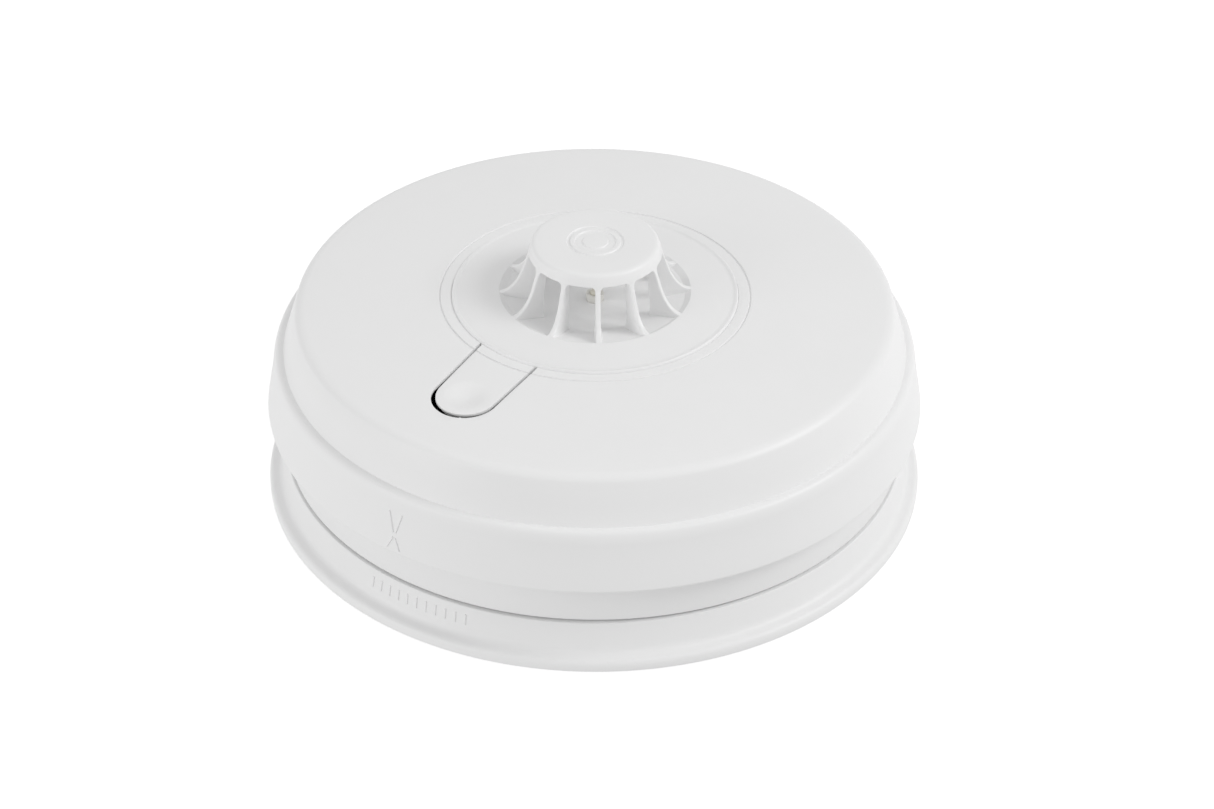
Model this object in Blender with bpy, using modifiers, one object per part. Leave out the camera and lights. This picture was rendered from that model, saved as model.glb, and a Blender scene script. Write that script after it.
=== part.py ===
"""A mains heat alarm on its mounting base, modelled piece by piece.

The back of the base, which meets the ceiling, lies on z = 0 and the sensor cage points up +Z.
The test button lies towards -Y. Angles round the axis are measured from -Y towards +X, in degrees.
All sizes below are millimetres; Blender's units are metres.
"""
import math

import bmesh
import bpy
from mathutils import Matrix, Vector

MM = 0.001

# Overall sizes
COVER_RADIUS = 69.9          # lower lip of the cover, the widest part of the head
FACE_HEIGHT = 45.0           # the face, at the edge of the centre insert, above the ceiling
GAP = 0.3                    # clearance kept between neighbouring pieces
SEAM_GAP = 0.5               # seam between the head and the base

# Cover
COVER_WALL = 2.0
SKIRT_WALL = 1.8
LIP_HEIGHT = 19.8            # lower edge of the skirt above the ceiling
SKIRT_DRAFT = 1.6            # how far the skirt leans in from its lip to the bead
BEAD_DROP = 3.4              # height of the round bead below the crease
CREASE_INSET = 3.9           # crease above the bead, inside the lip
CREASE_DEPTH = 11.9          # crease below the face
CREASE_LEDGE = 0.7           # flat ledge between the crease and the bead
SHOULDER_INSET = 6.6         # lower end of the shoulder round, inside the lip
SHOULDER_DEPTH = 3.0
SHOULDER_ROUND = 2.4
FACE_DOME = 830.0            # radius of the gently domed face
GROOVE_WIDTH = 0.4
GROOVE_DEPTH = 0.3
INSERT_RADIUS = 30.0         # centre insert with the cage
RING_BAND = 2.7              # from the insert's rim out to the fine groove
LEDGE_WIDTH = 3.0            # ledge of the cover under the insert's rim
LEDGE_THICK = 2.0
BOSS_RADIUS = 3.0
BOSS_ANGLES = (60.0, 180.0, 300.0)

# Centre insert and cage
CAGE_WALL = 1.6
INSERT_STEP = 0.25           # the insert stands this far above the ring band
FOOT_RADIUS = 20.2
FOOT_RISE = 0.8              # cage foot above the face
DISH_RADIUS = 15.0
DISH_DROP = 1.5              # dish below the cage foot
FOOT_LIP = 1.1               # width of the steep lip inside the cage foot
FOOT_LIP_DROP = 0.8
FLOOR_DROP = 2.4             # cage floor below the cage foot
CAP_TOP = 12.8               # cap above the face
CAP_RADIUS = 13.3
CAP_SKIRT_RADIUS = 14.1
CAP_DEPTH = 2.7
CAP_WALL = 1.2
FIN_COUNT = 12
FIN_THICK = 1.2
FIN_START = 3.7              # angle of the first fin from the button
FIN_INNER_TOP = 12.3
FIN_INNER_FOOT = 13.2
CLIP_COUNT = 3

# Test button
BUTTON_X = -2.8              # the button lies a little to one side of the axis
BUTTON_REACH = 45.0          # middle of the button's round end, along -Y
BUTTON_HALF_WIDTH = 6.8      # at the root
BUTTON_TAPER = 0.5           # the round end is this much narrower on each side
BUTTON_SIDE_GAP = 0.65
BUTTON_END_GAP = 1.0
BUTTON_THICK = 1.8
BUTTON_ROOT_OVERLAP = 3.0    # how far the outline runs in past the insert's rim
DIMPLE_RADIUS = 5.2
DIMPLE_DEPTH = 1.0
BUTTON_AXIS_OFFSET = 1.5     # root line the button bends about, outside the insert's rim
BUTTON_AXIS_DROP = 1.4       # root line below the face

# Chassis
BAND_GAP = 1.9               # between the cover's skirt and the chassis
CHASSIS_WALL = 1.8
CHASSIS_PLATE = 2.0
CHASSIS_TOP = 26.0           # top of the chassis wall above the ceiling
CENTRE_OPENING = 24.0
POST_RADIUS = 3.2
POST_ORBIT = 42.0
POST_ANGLES = (40.0, 160.0, 280.0)
FOOT_ANGLE_START = -10.0     # bayonet foot, from each hook's middle
FOOT_ANGLE_END = 2.0

# Mounting base
BASE_HEIGHT = 9.5
BASE_PLATE = 2.0
BASE_WALL = 2.2
BASE_LEDGE = 0.4             # base wall stands this far outside the chassis
FLANGE_WIDTH = 3.9
FLANGE_THICK = 2.3
FLARE_HEIGHT = 4.2
HOOK_ANGLES = (0.0, 120.0, 240.0)
HOOK_ANGLE_START = -11.0
HOOK_ANGLE_END = 6.0
HOOK_WALL = 1.8
HOOK_LIP = 3.4               # how far each hook reaches in over a foot
HOOK_THICK = 1.8
STOP_WIDTH = 1.6             # end stop of each hook, in degrees
STOP_OVERLAP = 0.3           # how far the stop runs into its hook, in degrees
CABLE_ENTRY_WIDTH = 26.0
CABLE_ENTRY_DEPTH = 12.0
CABLE_ENTRY_Y = 24.0
SCREW_SLOT_WIDTH = 4.6
SCREW_SLOT_LENGTH = 14.0
SCREW_SLOT_ORBIT = 42.5
TERMINAL_LENGTH = 36.0
TERMINAL_DEPTH = 15.0
TERMINAL_HEIGHT = 10.0
TERMINAL_PITCH = 11.0
TERMINAL_FLOOR = 3.0         # plastic left under each terminal screw
WIRE_MOUTH = (4.2, 6.0, 3.6)
CONTACT_RISE = 3.4           # contact surface above the terminal block
CONTACT_WIDTH = 5.0

# Circuit board and what stands on it
BOARD_HEIGHT = 24.0
BOARD_THICK = 1.6
HOLDER_RADIUS = 1.9
HOLDER_WALL = 0.55
BEAD_SIZE = 1.1
LEAD_RADIUS = 0.25
SOUNDER_X = -21.0
SOUNDER_Y = 20.0
SOUNDER_RADIUS = 19.0
SOUNDER_HEIGHT = 7.0
SOUNDER_WALL = 1.5
SOUNDER_CAP_HEIGHT = 5.0
SOUNDER_PORT = 3.0           # radius of the sound port in the cap
PIEZO_RADIUS = 17.0
PIEZO_THICK = 0.4
CELL_X = 24.0
CELL_Y = 13.0
CELL_RADIUS = 7.1
CELL_LENGTH = 33.0
TAB_WIDTH = 5.0
TAB_THICK = 0.4
FILM_CAPACITOR = (18.0, 8.5, 11.5)
FILM_CAPACITOR_SPOT = (24.0, -15.5)
CAN_RADIUS = 5.0             # smoothing capacitor
CAN_HEIGHT = 12.5
CAN_SPOT = (-14.0, -13.0)
VARISTOR_RADIUS = 4.6
VARISTOR_THICK = 4.0
VARISTOR_SPOT = (39.5, -5.0)
CHIP_SIZE = (9.0, 9.0, 1.4)
CHIP_SPOT = (-20.0, -27.0)
SWITCH_SIZE = 6.0
SWITCH_HEIGHT = 3.6
PLUNGER_RADIUS = 1.7
PLUNGER_TOP = 5.2            # plunger above the board
LED_RADIUS = 1.5
LED_HEIGHT = 5.4

# Fasteners
SCREW_RADIUS = 1.3
SCREW_HEAD_RADIUS = 2.7
SCREW_HEAD_HEIGHT = 1.7

ROUND_STEPS = 60
SMALL_STEPS = 12

# Sizes that follow from the ones above
BAND_RADIUS = COVER_RADIUS - SKIRT_WALL - BAND_GAP
BASE_RADIUS = BAND_RADIUS + BASE_LEDGE
FLANGE_RADIUS = BASE_RADIUS + FLANGE_WIDTH
CHASSIS_BOTTOM = BASE_HEIGHT + SEAM_GAP
CHASSIS_FLOOR = CHASSIS_BOTTOM + CHASSIS_PLATE
SHOULDER_RADIUS = COVER_RADIUS - SHOULDER_INSET
BOSS_ORBIT = SHOULDER_RADIUS - SHOULDER_ROUND - COVER_WALL - BOSS_RADIUS
BOARD_RADIUS = BOSS_ORBIT - BOSS_RADIUS - 5 * GAP
BOARD_TOP = BOARD_HEIGHT + BOARD_THICK
PART_FOOT = BOARD_TOP + GAP
RING_INNER = INSERT_RADIUS + GAP
RING_RADIUS = INSERT_RADIUS + RING_BAND
BUTTON_AXIS_Y = INSERT_RADIUS + BUTTON_AXIS_OFFSET
INSERT_TOP = FACE_HEIGHT + INSERT_STEP
INSERT_BOTTOM = FACE_HEIGHT - COVER_WALL
LEDGE_TOP = INSERT_BOTTOM - GAP
LEDGE_BOTTOM = LEDGE_TOP - LEDGE_THICK
LEDGE_OUTER = RING_INNER + COVER_WALL
CAGE_FOOT = FACE_HEIGHT + FOOT_RISE
CAP_BOTTOM = FACE_HEIGHT + CAP_TOP - CAP_DEPTH
HOOK_RADIUS = BASE_RADIUS - BASE_WALL - GAP
HOOK_TOP = BASE_HEIGHT - GAP
FOOT_LIP_TOP = HOOK_TOP - HOOK_THICK - GAP


def place(radius, angle, z=0.0):
    """The point at a radius and an angle round the axis, in millimetres."""
    turn = math.radians(angle)
    return Vector((radius * math.sin(turn), -radius * math.cos(turn), z))


def face_z(radius):
    """Height of the domed face at a radius."""
    return FACE_HEIGHT + (RING_RADIUS ** 2 - radius ** 2) / (2 * FACE_DOME)


def arc(centre, radius, start, end, steps):
    """Points on an arc; angles are degrees from the first axis towards the second."""
    points = []
    for step in range(steps + 1):
        turn = math.radians(start + (end - start) * step / steps)
        points.append((centre[0] + radius * math.cos(turn), centre[1] + radius * math.sin(turn)))
    return points


def curve_through(start, control, end, steps):
    """Points on a quadratic curve from start to end, pulled towards control."""
    points = []
    for step in range(steps + 1):
        t = step / steps
        weights = ((1 - t) ** 2, 2 * t * (1 - t), t ** 2)
        r = sum(w * p[0] for w, p in zip(weights, (start, control, end)))
        z = sum(w * p[1] for w, p in zip(weights, (start, control, end)))
        points.append((r, z))
    return points


def collection(name):
    made = bpy.data.collections.new(name)
    bpy.context.scene.collection.children.link(made)
    return made


def plastic(name, colour, roughness=0.45, metallic=0.0):
    """A Principled material with one plain colour."""
    made = bpy.data.materials.new(name)
    made.use_nodes = True
    shader = made.node_tree.nodes["Principled BSDF"]
    shader.inputs["Base Color"].default_value = (*colour, 1.0)
    shader.inputs["Roughness"].default_value = roughness
    shader.inputs["Metallic"].default_value = metallic
    return made


def new_object(name, mesh, home, material=None):
    made = bpy.data.objects.new(name, mesh)
    home.objects.link(made)
    if material:
        mesh.materials.append(material)
    return made


def as_tool(piece):
    """Mark an object as a shape that only cuts or joins others."""
    piece.hide_render = True
    piece.display_type = "WIRE"
    return piece


def combine(piece, tool, operation="DIFFERENCE"):
    step = piece.modifiers.new(operation.title() + " " + tool.name, "BOOLEAN")
    step.object = tool
    step.operation = operation
    step.solver = "EXACT"


def turned(name, profile, home, material=None, closed=True, steps=ROUND_STEPS):
    """A profile of (radius, z) points turned round the z axis.

    A closed profile makes a ring and an open one starts and ends on the axis.
    Its outer side runs from top to bottom.
    """
    mesh = bpy.data.meshes.new(name)
    points = [(r * MM, 0.0, z * MM) for r, z in profile]
    edges = [(i, i + 1) for i in range(len(points) - 1)]
    if closed:
        edges.append((len(points) - 1, 0))
    mesh.from_pydata(points, edges, [])
    made = new_object(name, mesh, home, material)
    screw = made.modifiers.new("Turn", "SCREW")
    screw.axis = "Z"
    screw.angle = math.tau
    screw.steps = steps
    screw.render_steps = steps
    screw.use_merge_vertices = True
    screw.merge_threshold = 0.00001
    screw.use_smooth_shade = True
    return made


def sector(name, profile, start, end, home, steps=4):
    """A closed profile swept between two angles round the axis, with flat ends."""
    shape = bmesh.new()
    first = place(1.0, start)
    verts = [shape.verts.new((r * first.x * MM, r * first.y * MM, z * MM)) for r, z in profile]
    face = shape.faces.new(verts)
    geometry = list(shape.verts) + list(shape.edges) + [face]
    bmesh.ops.spin(shape, geom=geometry, cent=(0, 0, 0), axis=(0, 0, 1),
                   angle=math.radians(end - start), steps=steps, use_duplicate=False)
    bmesh.ops.recalc_face_normals(shape, faces=shape.faces)
    mesh = bpy.data.meshes.new(name)
    shape.to_mesh(mesh)
    shape.free()
    return new_object(name, mesh, home)


def box(name, size, centre, home, material=None, turn=0.0):
    """A box of a size round a centre, in millimetres, turned about z."""
    shape = bmesh.new()
    bmesh.ops.create_cube(shape, size=1.0)
    bmesh.ops.scale(shape, verts=shape.verts, vec=[side * MM for side in size])
    mesh = bpy.data.meshes.new(name)
    shape.to_mesh(mesh)
    shape.free()
    made = new_object(name, mesh, home, material)
    made.location = Vector(centre) * MM
    made.rotation_euler.z = math.radians(turn)
    return made


def rod(name, radius, bottom, top, centre, home, material=None, steps=SMALL_STEPS):
    """An upright cylinder between two heights."""
    shape = bmesh.new()
    bmesh.ops.create_cone(shape, cap_ends=True, segments=steps, radius1=radius * MM,
                          radius2=radius * MM, depth=(top - bottom) * MM)
    mesh = bpy.data.meshes.new(name)
    shape.to_mesh(mesh)
    shape.free()
    made = new_object(name, mesh, home, material)
    made.location = Vector((centre[0], centre[1], (bottom + top) / 2)) * MM
    return made


def outline_prism(name, outline, thick, home, material=None):
    """A flat outline of (x, y) points, filled and made thick from z = 0 up."""
    shape = bmesh.new()
    face = shape.faces.new([shape.verts.new((x * MM, y * MM, 0.0)) for x, y in outline])
    lifted = bmesh.ops.extrude_face_region(shape, geom=[face])["geom"]
    moved = [item for item in lifted if isinstance(item, bmesh.types.BMVert)]
    bmesh.ops.translate(shape, verts=moved, vec=(0, 0, thick * MM))
    bmesh.ops.recalc_face_normals(shape, faces=shape.faces)
    mesh = bpy.data.meshes.new(name)
    shape.to_mesh(mesh)
    shape.free()
    return new_object(name, mesh, home, material)


def join_meshes(name, pieces, home):
    """One tool object from several that don't touch, so one Boolean takes them all."""
    shape = bmesh.new()
    for piece in pieces:
        mesh = piece.data.copy()
        mesh.transform(piece.matrix_basis)
        shape.from_mesh(mesh)
        bpy.data.objects.remove(piece)
        bpy.data.meshes.remove(mesh)
    mesh = bpy.data.meshes.new(name)
    shape.to_mesh(mesh)
    shape.free()
    return as_tool(new_object(name, mesh, home))


def tongue_outline(half_width, reach, root):
    """A strip along -Y that narrows to a round end, from the root line outward."""
    points = [(BUTTON_X - half_width, -root), (BUTTON_X + half_width, -root)]
    points += arc((BUTTON_X, -reach), half_width - BUTTON_TAPER, 0.0, -180.0, 16)
    return list(reversed(points))


def face_profile(inner, outer, thick):
    """The face's section between two radii, with the fine groove, top side running outward."""
    half = GROOVE_WIDTH / 2
    top = [(inner, face_z(RING_RADIUS)), (RING_RADIUS - half, face_z(RING_RADIUS)),
           (RING_RADIUS, face_z(RING_RADIUS) - GROOVE_DEPTH), (RING_RADIUS + half, face_z(RING_RADIUS))]
    for step in range(1, 4):
        radius = RING_RADIUS + half + (outer - RING_RADIUS - half) * step / 3
        top.append((radius, face_z(radius)))
    under = [(radius, z - thick) for radius, z in reversed(top) if z >= face_z(RING_RADIUS) - GROOVE_DEPTH / 2
             or radius > RING_RADIUS]
    return top, under


def cover_profile():
    """The cover's closed section: ledge, face, shoulder, crease, bead, skirt and lip."""
    top, under = face_profile(RING_INNER, SHOULDER_RADIUS - SHOULDER_ROUND, COVER_WALL)
    shoulder_z = FACE_HEIGHT - SHOULDER_DEPTH
    crease = (COVER_RADIUS - CREASE_INSET, FACE_HEIGHT - CREASE_DEPTH)
    bead_top = (crease[0] + CREASE_LEDGE, crease[1])
    skirt_radius = COVER_RADIUS - SKIRT_DRAFT
    bead_end = (skirt_radius, crease[1] - BEAD_DROP)
    outer = top + curve_through(top[-1], (SHOULDER_RADIUS - 0.7, face_z(SHOULDER_RADIUS)),
                                (SHOULDER_RADIUS, shoulder_z), 4)[1:]
    outer += [crease, bead_top]
    outer += curve_through(bead_top, (skirt_radius - 0.2, bead_top[1] - 0.1), bead_end, 4)[1:]
    outer += [(COVER_RADIUS, LIP_HEIGHT + 0.6), (COVER_RADIUS - 0.3, LIP_HEIGHT)]
    inner = [(COVER_RADIUS - SKIRT_WALL, LIP_HEIGHT), (skirt_radius - SKIRT_WALL, bead_end[1]),
             (crease[0] - SKIRT_WALL, crease[1] - SKIRT_WALL / 2), (SHOULDER_RADIUS - COVER_WALL, shoulder_z)]
    ledge = [(LEDGE_OUTER, INSERT_BOTTOM), (LEDGE_OUTER, LEDGE_BOTTOM),
             (RING_INNER - LEDGE_WIDTH, LEDGE_BOTTOM), (RING_INNER - LEDGE_WIDTH, LEDGE_TOP),
             (RING_INNER, LEDGE_TOP)]
    under = [point for point in under if point[0] > LEDGE_OUTER + GAP]
    return outer + inner + under + ledge


def build_cover(home, tools, material):
    cover = turned("cover", cover_profile(), home, material)
    bosses = []
    cores = []
    for angle in BOSS_ANGLES:
        spot = place(BOSS_ORBIT, angle)
        top = face_z(BOSS_ORBIT) - COVER_WALL / 2
        bosses.append(rod("boss", BOSS_RADIUS, boss_bottom(), top, spot, tools))
        core_top = BOARD_HEIGHT + 4 * GAP
        cores.append(rod("core", SCREW_RADIUS + GAP, boss_bottom() - 1, core_top, spot, tools))
    combine(cover, join_meshes("cover_bosses", bosses, tools), "UNION")
    combine(cover, join_meshes("cover_boss_cores", cores, tools))
    half_width = BUTTON_HALF_WIDTH + BUTTON_SIDE_GAP
    reach = BUTTON_REACH + BUTTON_END_GAP - BUTTON_SIDE_GAP
    outline = tongue_outline(half_width, reach, LEDGE_OUTER + GAP)
    slot = as_tool(outline_prism("button_slot", outline, COVER_WALL * 4, tools))
    slot.location.z = (FACE_HEIGHT - COVER_WALL * 3) * MM
    combine(cover, slot)
    root_start = RING_INNER - BUTTON_ROOT_OVERLAP
    root_length = LEDGE_OUTER + 2 * GAP - root_start
    root = box("button_root_slot", (2 * half_width, root_length, COVER_WALL * 2),
               (BUTTON_X, -root_start - root_length / 2, LEDGE_TOP + COVER_WALL), tools)
    combine(cover, as_tool(root))
    return cover


def boss_bottom():
    return CHASSIS_FLOOR + CHASSIS_PLATE + GAP


def build_button(home, tools, material):
    """The test button: a tongue of the face, dished at its end, with a stem under the dish."""
    reach = BUTTON_REACH + BUTTON_HALF_WIDTH + 2
    top, under = face_profile(RING_INNER, reach, BUTTON_THICK)
    button = turned("test_button", top + under, home, material)
    outline = tongue_outline(BUTTON_HALF_WIDTH, BUTTON_REACH, RING_INNER - BUTTON_ROOT_OVERLAP)
    blank = as_tool(outline_prism("button_blank", outline, COVER_WALL * 4, tools))
    blank.location.z = (FACE_HEIGHT - 2 * COVER_WALL) * MM
    combine(button, blank, "INTERSECT")
    stem_bottom = PART_FOOT + PLUNGER_TOP + GAP
    stem = rod("button_stem", PLUNGER_RADIUS, stem_bottom, face_z(BUTTON_REACH) - BUTTON_THICK + 0.5,
               (BUTTON_X, -BUTTON_REACH), tools)
    combine(button, as_tool(stem), "UNION")
    ball_radius = (DIMPLE_RADIUS ** 2 + DIMPLE_DEPTH ** 2) / (2 * DIMPLE_DEPTH)
    ball = bmesh.new()
    bmesh.ops.create_uvsphere(ball, u_segments=32, v_segments=48, radius=ball_radius * MM)
    mesh = bpy.data.meshes.new("dimple")
    ball.to_mesh(mesh)
    ball.free()
    dimple = as_tool(new_object("dimple", mesh, tools))
    dimple_z = face_z(BUTTON_REACH) - DIMPLE_DEPTH + ball_radius
    dimple.location = Vector((BUTTON_X, -BUTTON_REACH, dimple_z)) * MM
    combine(button, dimple)
    pivot = bpy.data.objects.new("test_button_hinge", None)
    home.objects.link(pivot)
    pivot.location = Vector((BUTTON_X, -BUTTON_AXIS_Y, FACE_HEIGHT - BUTTON_AXIS_DROP)) * MM
    button.parent = pivot
    button.location = -pivot.location
    return button


def cage_profile():
    """The centre insert: rim, disc rising to the cage foot, dish, floor and thermistor hole."""
    hole = HOLDER_RADIUS + GAP
    floor = CAGE_FOOT - FLOOR_DROP
    top = [(hole, floor), (DISH_RADIUS - 3.0, floor + 0.2), (DISH_RADIUS, CAGE_FOOT - DISH_DROP),
           (FOOT_RADIUS - FOOT_LIP, CAGE_FOOT - FOOT_LIP_DROP), (FOOT_RADIUS, CAGE_FOOT),
           (INSERT_RADIUS - 0.5, INSERT_TOP), (INSERT_RADIUS, INSERT_TOP - 0.2)]
    bottom = [(INSERT_RADIUS, INSERT_BOTTOM), (FOOT_RADIUS, INSERT_BOTTOM), (DISH_RADIUS, floor - CAGE_WALL),
              (hole, floor - CAGE_WALL)]
    return top + bottom


def cap_profile():
    """The cap over the cage: a shallow cup turned upside down."""
    top = FACE_HEIGHT + CAP_TOP
    rim = curve_through((CAP_RADIUS - 1.1, top), (CAP_RADIUS, top), (CAP_RADIUS + 0.2, top - 0.9), 3)
    outer = [(0.0, top)] + rim + [(CAP_SKIRT_RADIUS, CAP_BOTTOM)]
    inner = [(CAP_SKIRT_RADIUS - CAP_WALL, CAP_BOTTOM), (CAP_RADIUS - CAP_WALL, top - CAP_WALL),
             (0.0, top - CAP_WALL)]
    return outer + inner


def fin_outline():
    """A fin's side view as (radius, z): straight from the cap, then flaring out along the foot."""
    top = CAP_BOTTOM + CAP_WALL / 2
    foot = (FOOT_RADIUS + 0.2, CAGE_FOOT - 0.08)
    flare = curve_through((CAP_SKIRT_RADIUS + 0.95, FACE_HEIGHT + 7.2), (FOOT_RADIUS - 3.4, CAGE_FOOT + 0.3),
                          foot, 6)
    outer = [(CAP_SKIRT_RADIUS - 0.25, top), (CAP_SKIRT_RADIUS - 0.05, CAP_BOTTOM)] + flare
    sunk = CAGE_FOOT - DISH_DROP - 0.5
    inner = [(FOOT_RADIUS, CAGE_FOOT - FOOT_LIP_DROP - 0.5), (DISH_RADIUS, sunk), (DISH_RADIUS - 0.4, sunk),
             (FIN_INNER_FOOT, CAGE_FOOT + 0.4), (FIN_INNER_TOP, top)]
    return outer + inner


def build_cage(home, tools, material):
    cage = turned("sensor_cage", cage_profile(), home, material)
    cap = as_tool(turned("cage_cap", cap_profile(), tools, closed=False, steps=48))
    combine_later = [cap]
    fins = []
    for index in range(FIN_COUNT):
        fin = outline_prism("fin", fin_outline(), FIN_THICK, tools)
        angle = math.radians(FIN_START + index * 360.0 / FIN_COUNT - 90.0)
        lift = Matrix.Rotation(angle, 4, "Z") @ Matrix.Rotation(math.pi / 2, 4, "X")
        fin.matrix_basis = lift @ Matrix.Translation((0, 0, -FIN_THICK / 2 * MM))
        fins.append(fin)
    combine_later.append(join_meshes("cage_fins", fins, tools))
    clips = []
    hook_top = LEDGE_BOTTOM - GAP
    inner = RING_INNER - LEDGE_WIDTH - GAP
    clip = [(inner - 1.4, INSERT_BOTTOM + 0.8), (inner - 1.4, hook_top - 1.4),
            (inner, hook_top - 1.4), (inner + 1.3, hook_top), (inner, hook_top),
            (inner, INSERT_BOTTOM + 0.8)]
    for index in range(CLIP_COUNT):
        middle = 60.0 + index * 360.0 / CLIP_COUNT
        clips.append(sector("clip", clip, middle - 7.0, middle + 7.0, tools, steps=2))
    combine_later.append(join_meshes("cage_clips", clips, tools))
    for tool in combine_later:
        combine(cage, tool, "UNION")
    return cage


def chassis_profile():
    """The chassis: a plate with a round opening and an upright wall round its edge."""
    return [(BAND_RADIUS - CHASSIS_WALL, CHASSIS_TOP), (BAND_RADIUS, CHASSIS_TOP),
            (BAND_RADIUS, CHASSIS_BOTTOM + 0.3), (BAND_RADIUS - 0.3, CHASSIS_BOTTOM),
            (CENTRE_OPENING, CHASSIS_BOTTOM), (CENTRE_OPENING, CHASSIS_FLOOR),
            (BAND_RADIUS - CHASSIS_WALL, CHASSIS_FLOOR)]


def foot_profile():
    """A bayonet foot: down from the plate, then out under the base's hook."""
    outer = HOOK_RADIUS - HOOK_WALL - GAP
    web = HOOK_RADIUS - HOOK_WALL - HOOK_LIP - GAP
    bottom = FOOT_LIP_TOP - HOOK_THICK
    return [(web - 2.0, CHASSIS_BOTTOM + 0.5), (web - 2.0, bottom), (outer, bottom), (outer, FOOT_LIP_TOP),
            (web, FOOT_LIP_TOP), (web, CHASSIS_BOTTOM + 0.5)]


def build_chassis(home, tools, material):
    chassis = turned("chassis", chassis_profile(), home, material)
    pads, holes, sinks = [], [], []
    for angle in BOSS_ANGLES:
        spot = place(BOSS_ORBIT, angle)
        pads.append(rod("pad", BOSS_RADIUS + 1.5, CHASSIS_FLOOR - 0.5, boss_bottom() - GAP, spot, tools))
        holes.append(rod("hole", SCREW_RADIUS + GAP, 0, CHASSIS_TOP, spot, tools))
        sinks.append(rod("sink", SCREW_HEAD_RADIUS + GAP, 0, screw_seat(), spot, tools))
    for angle in POST_ANGLES:
        spot = place(POST_ORBIT, angle)
        pads.append(rod("post", POST_RADIUS, CHASSIS_FLOOR - 0.5, BOARD_HEIGHT - GAP, spot, tools))
        holes.append(rod("hole", SCREW_RADIUS + GAP, CHASSIS_FLOOR + 1, BOARD_HEIGHT + 1, spot, tools))
    feet = [sector("foot", foot_profile(), hook + FOOT_ANGLE_START, hook + FOOT_ANGLE_END, tools, steps=3)
            for hook in HOOK_ANGLES]
    combine(chassis, join_meshes("chassis_pads", pads, tools), "UNION")
    combine(chassis, join_meshes("bayonet_feet", feet, tools), "UNION")
    combine(chassis, join_meshes("chassis_holes", holes, tools))
    combine(chassis, join_meshes("chassis_sinks", sinks, tools))
    return chassis


def screw_seat():
    """Height of the face that each cover screw's head bears on."""
    return CHASSIS_BOTTOM + SCREW_HEAD_HEIGHT + 2 * GAP


def base_profile():
    """The base: plate, upright wall, flaring foot and rounded flange."""
    flare = curve_through((BASE_RADIUS + 1.0, FLARE_HEIGHT), (BASE_RADIUS + 1.2, FLANGE_THICK + 0.9),
                          (BASE_RADIUS + 2.2, FLANGE_THICK + 0.5), 3)
    rim = curve_through((FLANGE_RADIUS - 0.8, FLANGE_THICK), (FLANGE_RADIUS, FLANGE_THICK - 0.1),
                        (FLANGE_RADIUS, FLANGE_THICK / 2), 3)
    outer = [(0.0, BASE_PLATE), (BASE_RADIUS - BASE_WALL, BASE_PLATE), (BASE_RADIUS - BASE_WALL, BASE_HEIGHT),
             (BASE_RADIUS - 0.3, BASE_HEIGHT), (BASE_RADIUS, BASE_HEIGHT - 0.3)] + flare + rim
    return outer + [(FLANGE_RADIUS, 0.5), (FLANGE_RADIUS - 0.5, 0.0), (0.0, 0.0)]


def hook_profile():
    """A hook of the base: up from the plate, then in over the bayonet foot."""
    web = HOOK_RADIUS - HOOK_WALL
    tip = web - HOOK_LIP
    return [(HOOK_RADIUS, BASE_PLATE - 0.5), (HOOK_RADIUS, HOOK_TOP), (tip, HOOK_TOP),
            (tip, HOOK_TOP - HOOK_THICK), (web, HOOK_TOP - HOOK_THICK), (web, BASE_PLATE - 0.5)]


def stop_profile():
    """The wall that closes one end of each hook and stops the head turning further."""
    tip = HOOK_RADIUS - HOOK_WALL - HOOK_LIP
    top = HOOK_TOP - HOOK_THICK / 2
    bottom = BASE_PLATE / 2
    return [(HOOK_RADIUS - 0.2, bottom), (HOOK_RADIUS - 0.2, top), (tip + 0.2, top), (tip + 0.2, bottom)]


def slot_outline(width, length):
    """A slot with round ends, long along y."""
    middle = (length - width) / 2
    ends = arc((0, middle), width / 2, 0, 180, 8) + arc((0, -middle), width / 2, 180, 360, 8)
    return ends


def build_base(home, tools, material):
    base = turned("mounting_base", base_profile(), home, material, closed=False)
    hooks = [sector("hook", hook_profile(), hook + HOOK_ANGLE_START, hook + HOOK_ANGLE_END, tools)
             for hook in HOOK_ANGLES]
    stop_end = HOOK_ANGLE_START + STOP_OVERLAP
    stops = [sector("stop", stop_profile(), hook + HOOK_ANGLE_START - STOP_WIDTH, hook + stop_end, tools,
                    steps=1) for hook in HOOK_ANGLES]
    combine(base, join_meshes("base_hooks", hooks, tools), "UNION")
    combine(base, join_meshes("base_stops", stops, tools), "UNION")
    entry_size = (CABLE_ENTRY_WIDTH, CABLE_ENTRY_DEPTH, BASE_PLATE * 3)
    cuts = [box("entry", entry_size, (0, CABLE_ENTRY_Y, 0), tools)]
    for angle in (90.0, 270.0):
        slot = outline_prism("slot", slot_outline(SCREW_SLOT_WIDTH, SCREW_SLOT_LENGTH), BASE_PLATE * 2, tools)
        slot.location = place(SCREW_SLOT_ORBIT, angle, -BASE_PLATE / 2) * MM
        cuts.append(slot)
    combine(base, join_meshes("base_openings", cuts, tools))
    return base


def terminal_spots():
    """Where the three terminals stand, by name: (x, y) on the terminal block."""
    return {"live": (-TERMINAL_PITCH, 0.0), "interconnect": (0.0, 0.0), "neutral": (TERMINAL_PITCH, 0.0)}


def terminal_top():
    return BASE_PLATE + GAP + TERMINAL_HEIGHT


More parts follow.
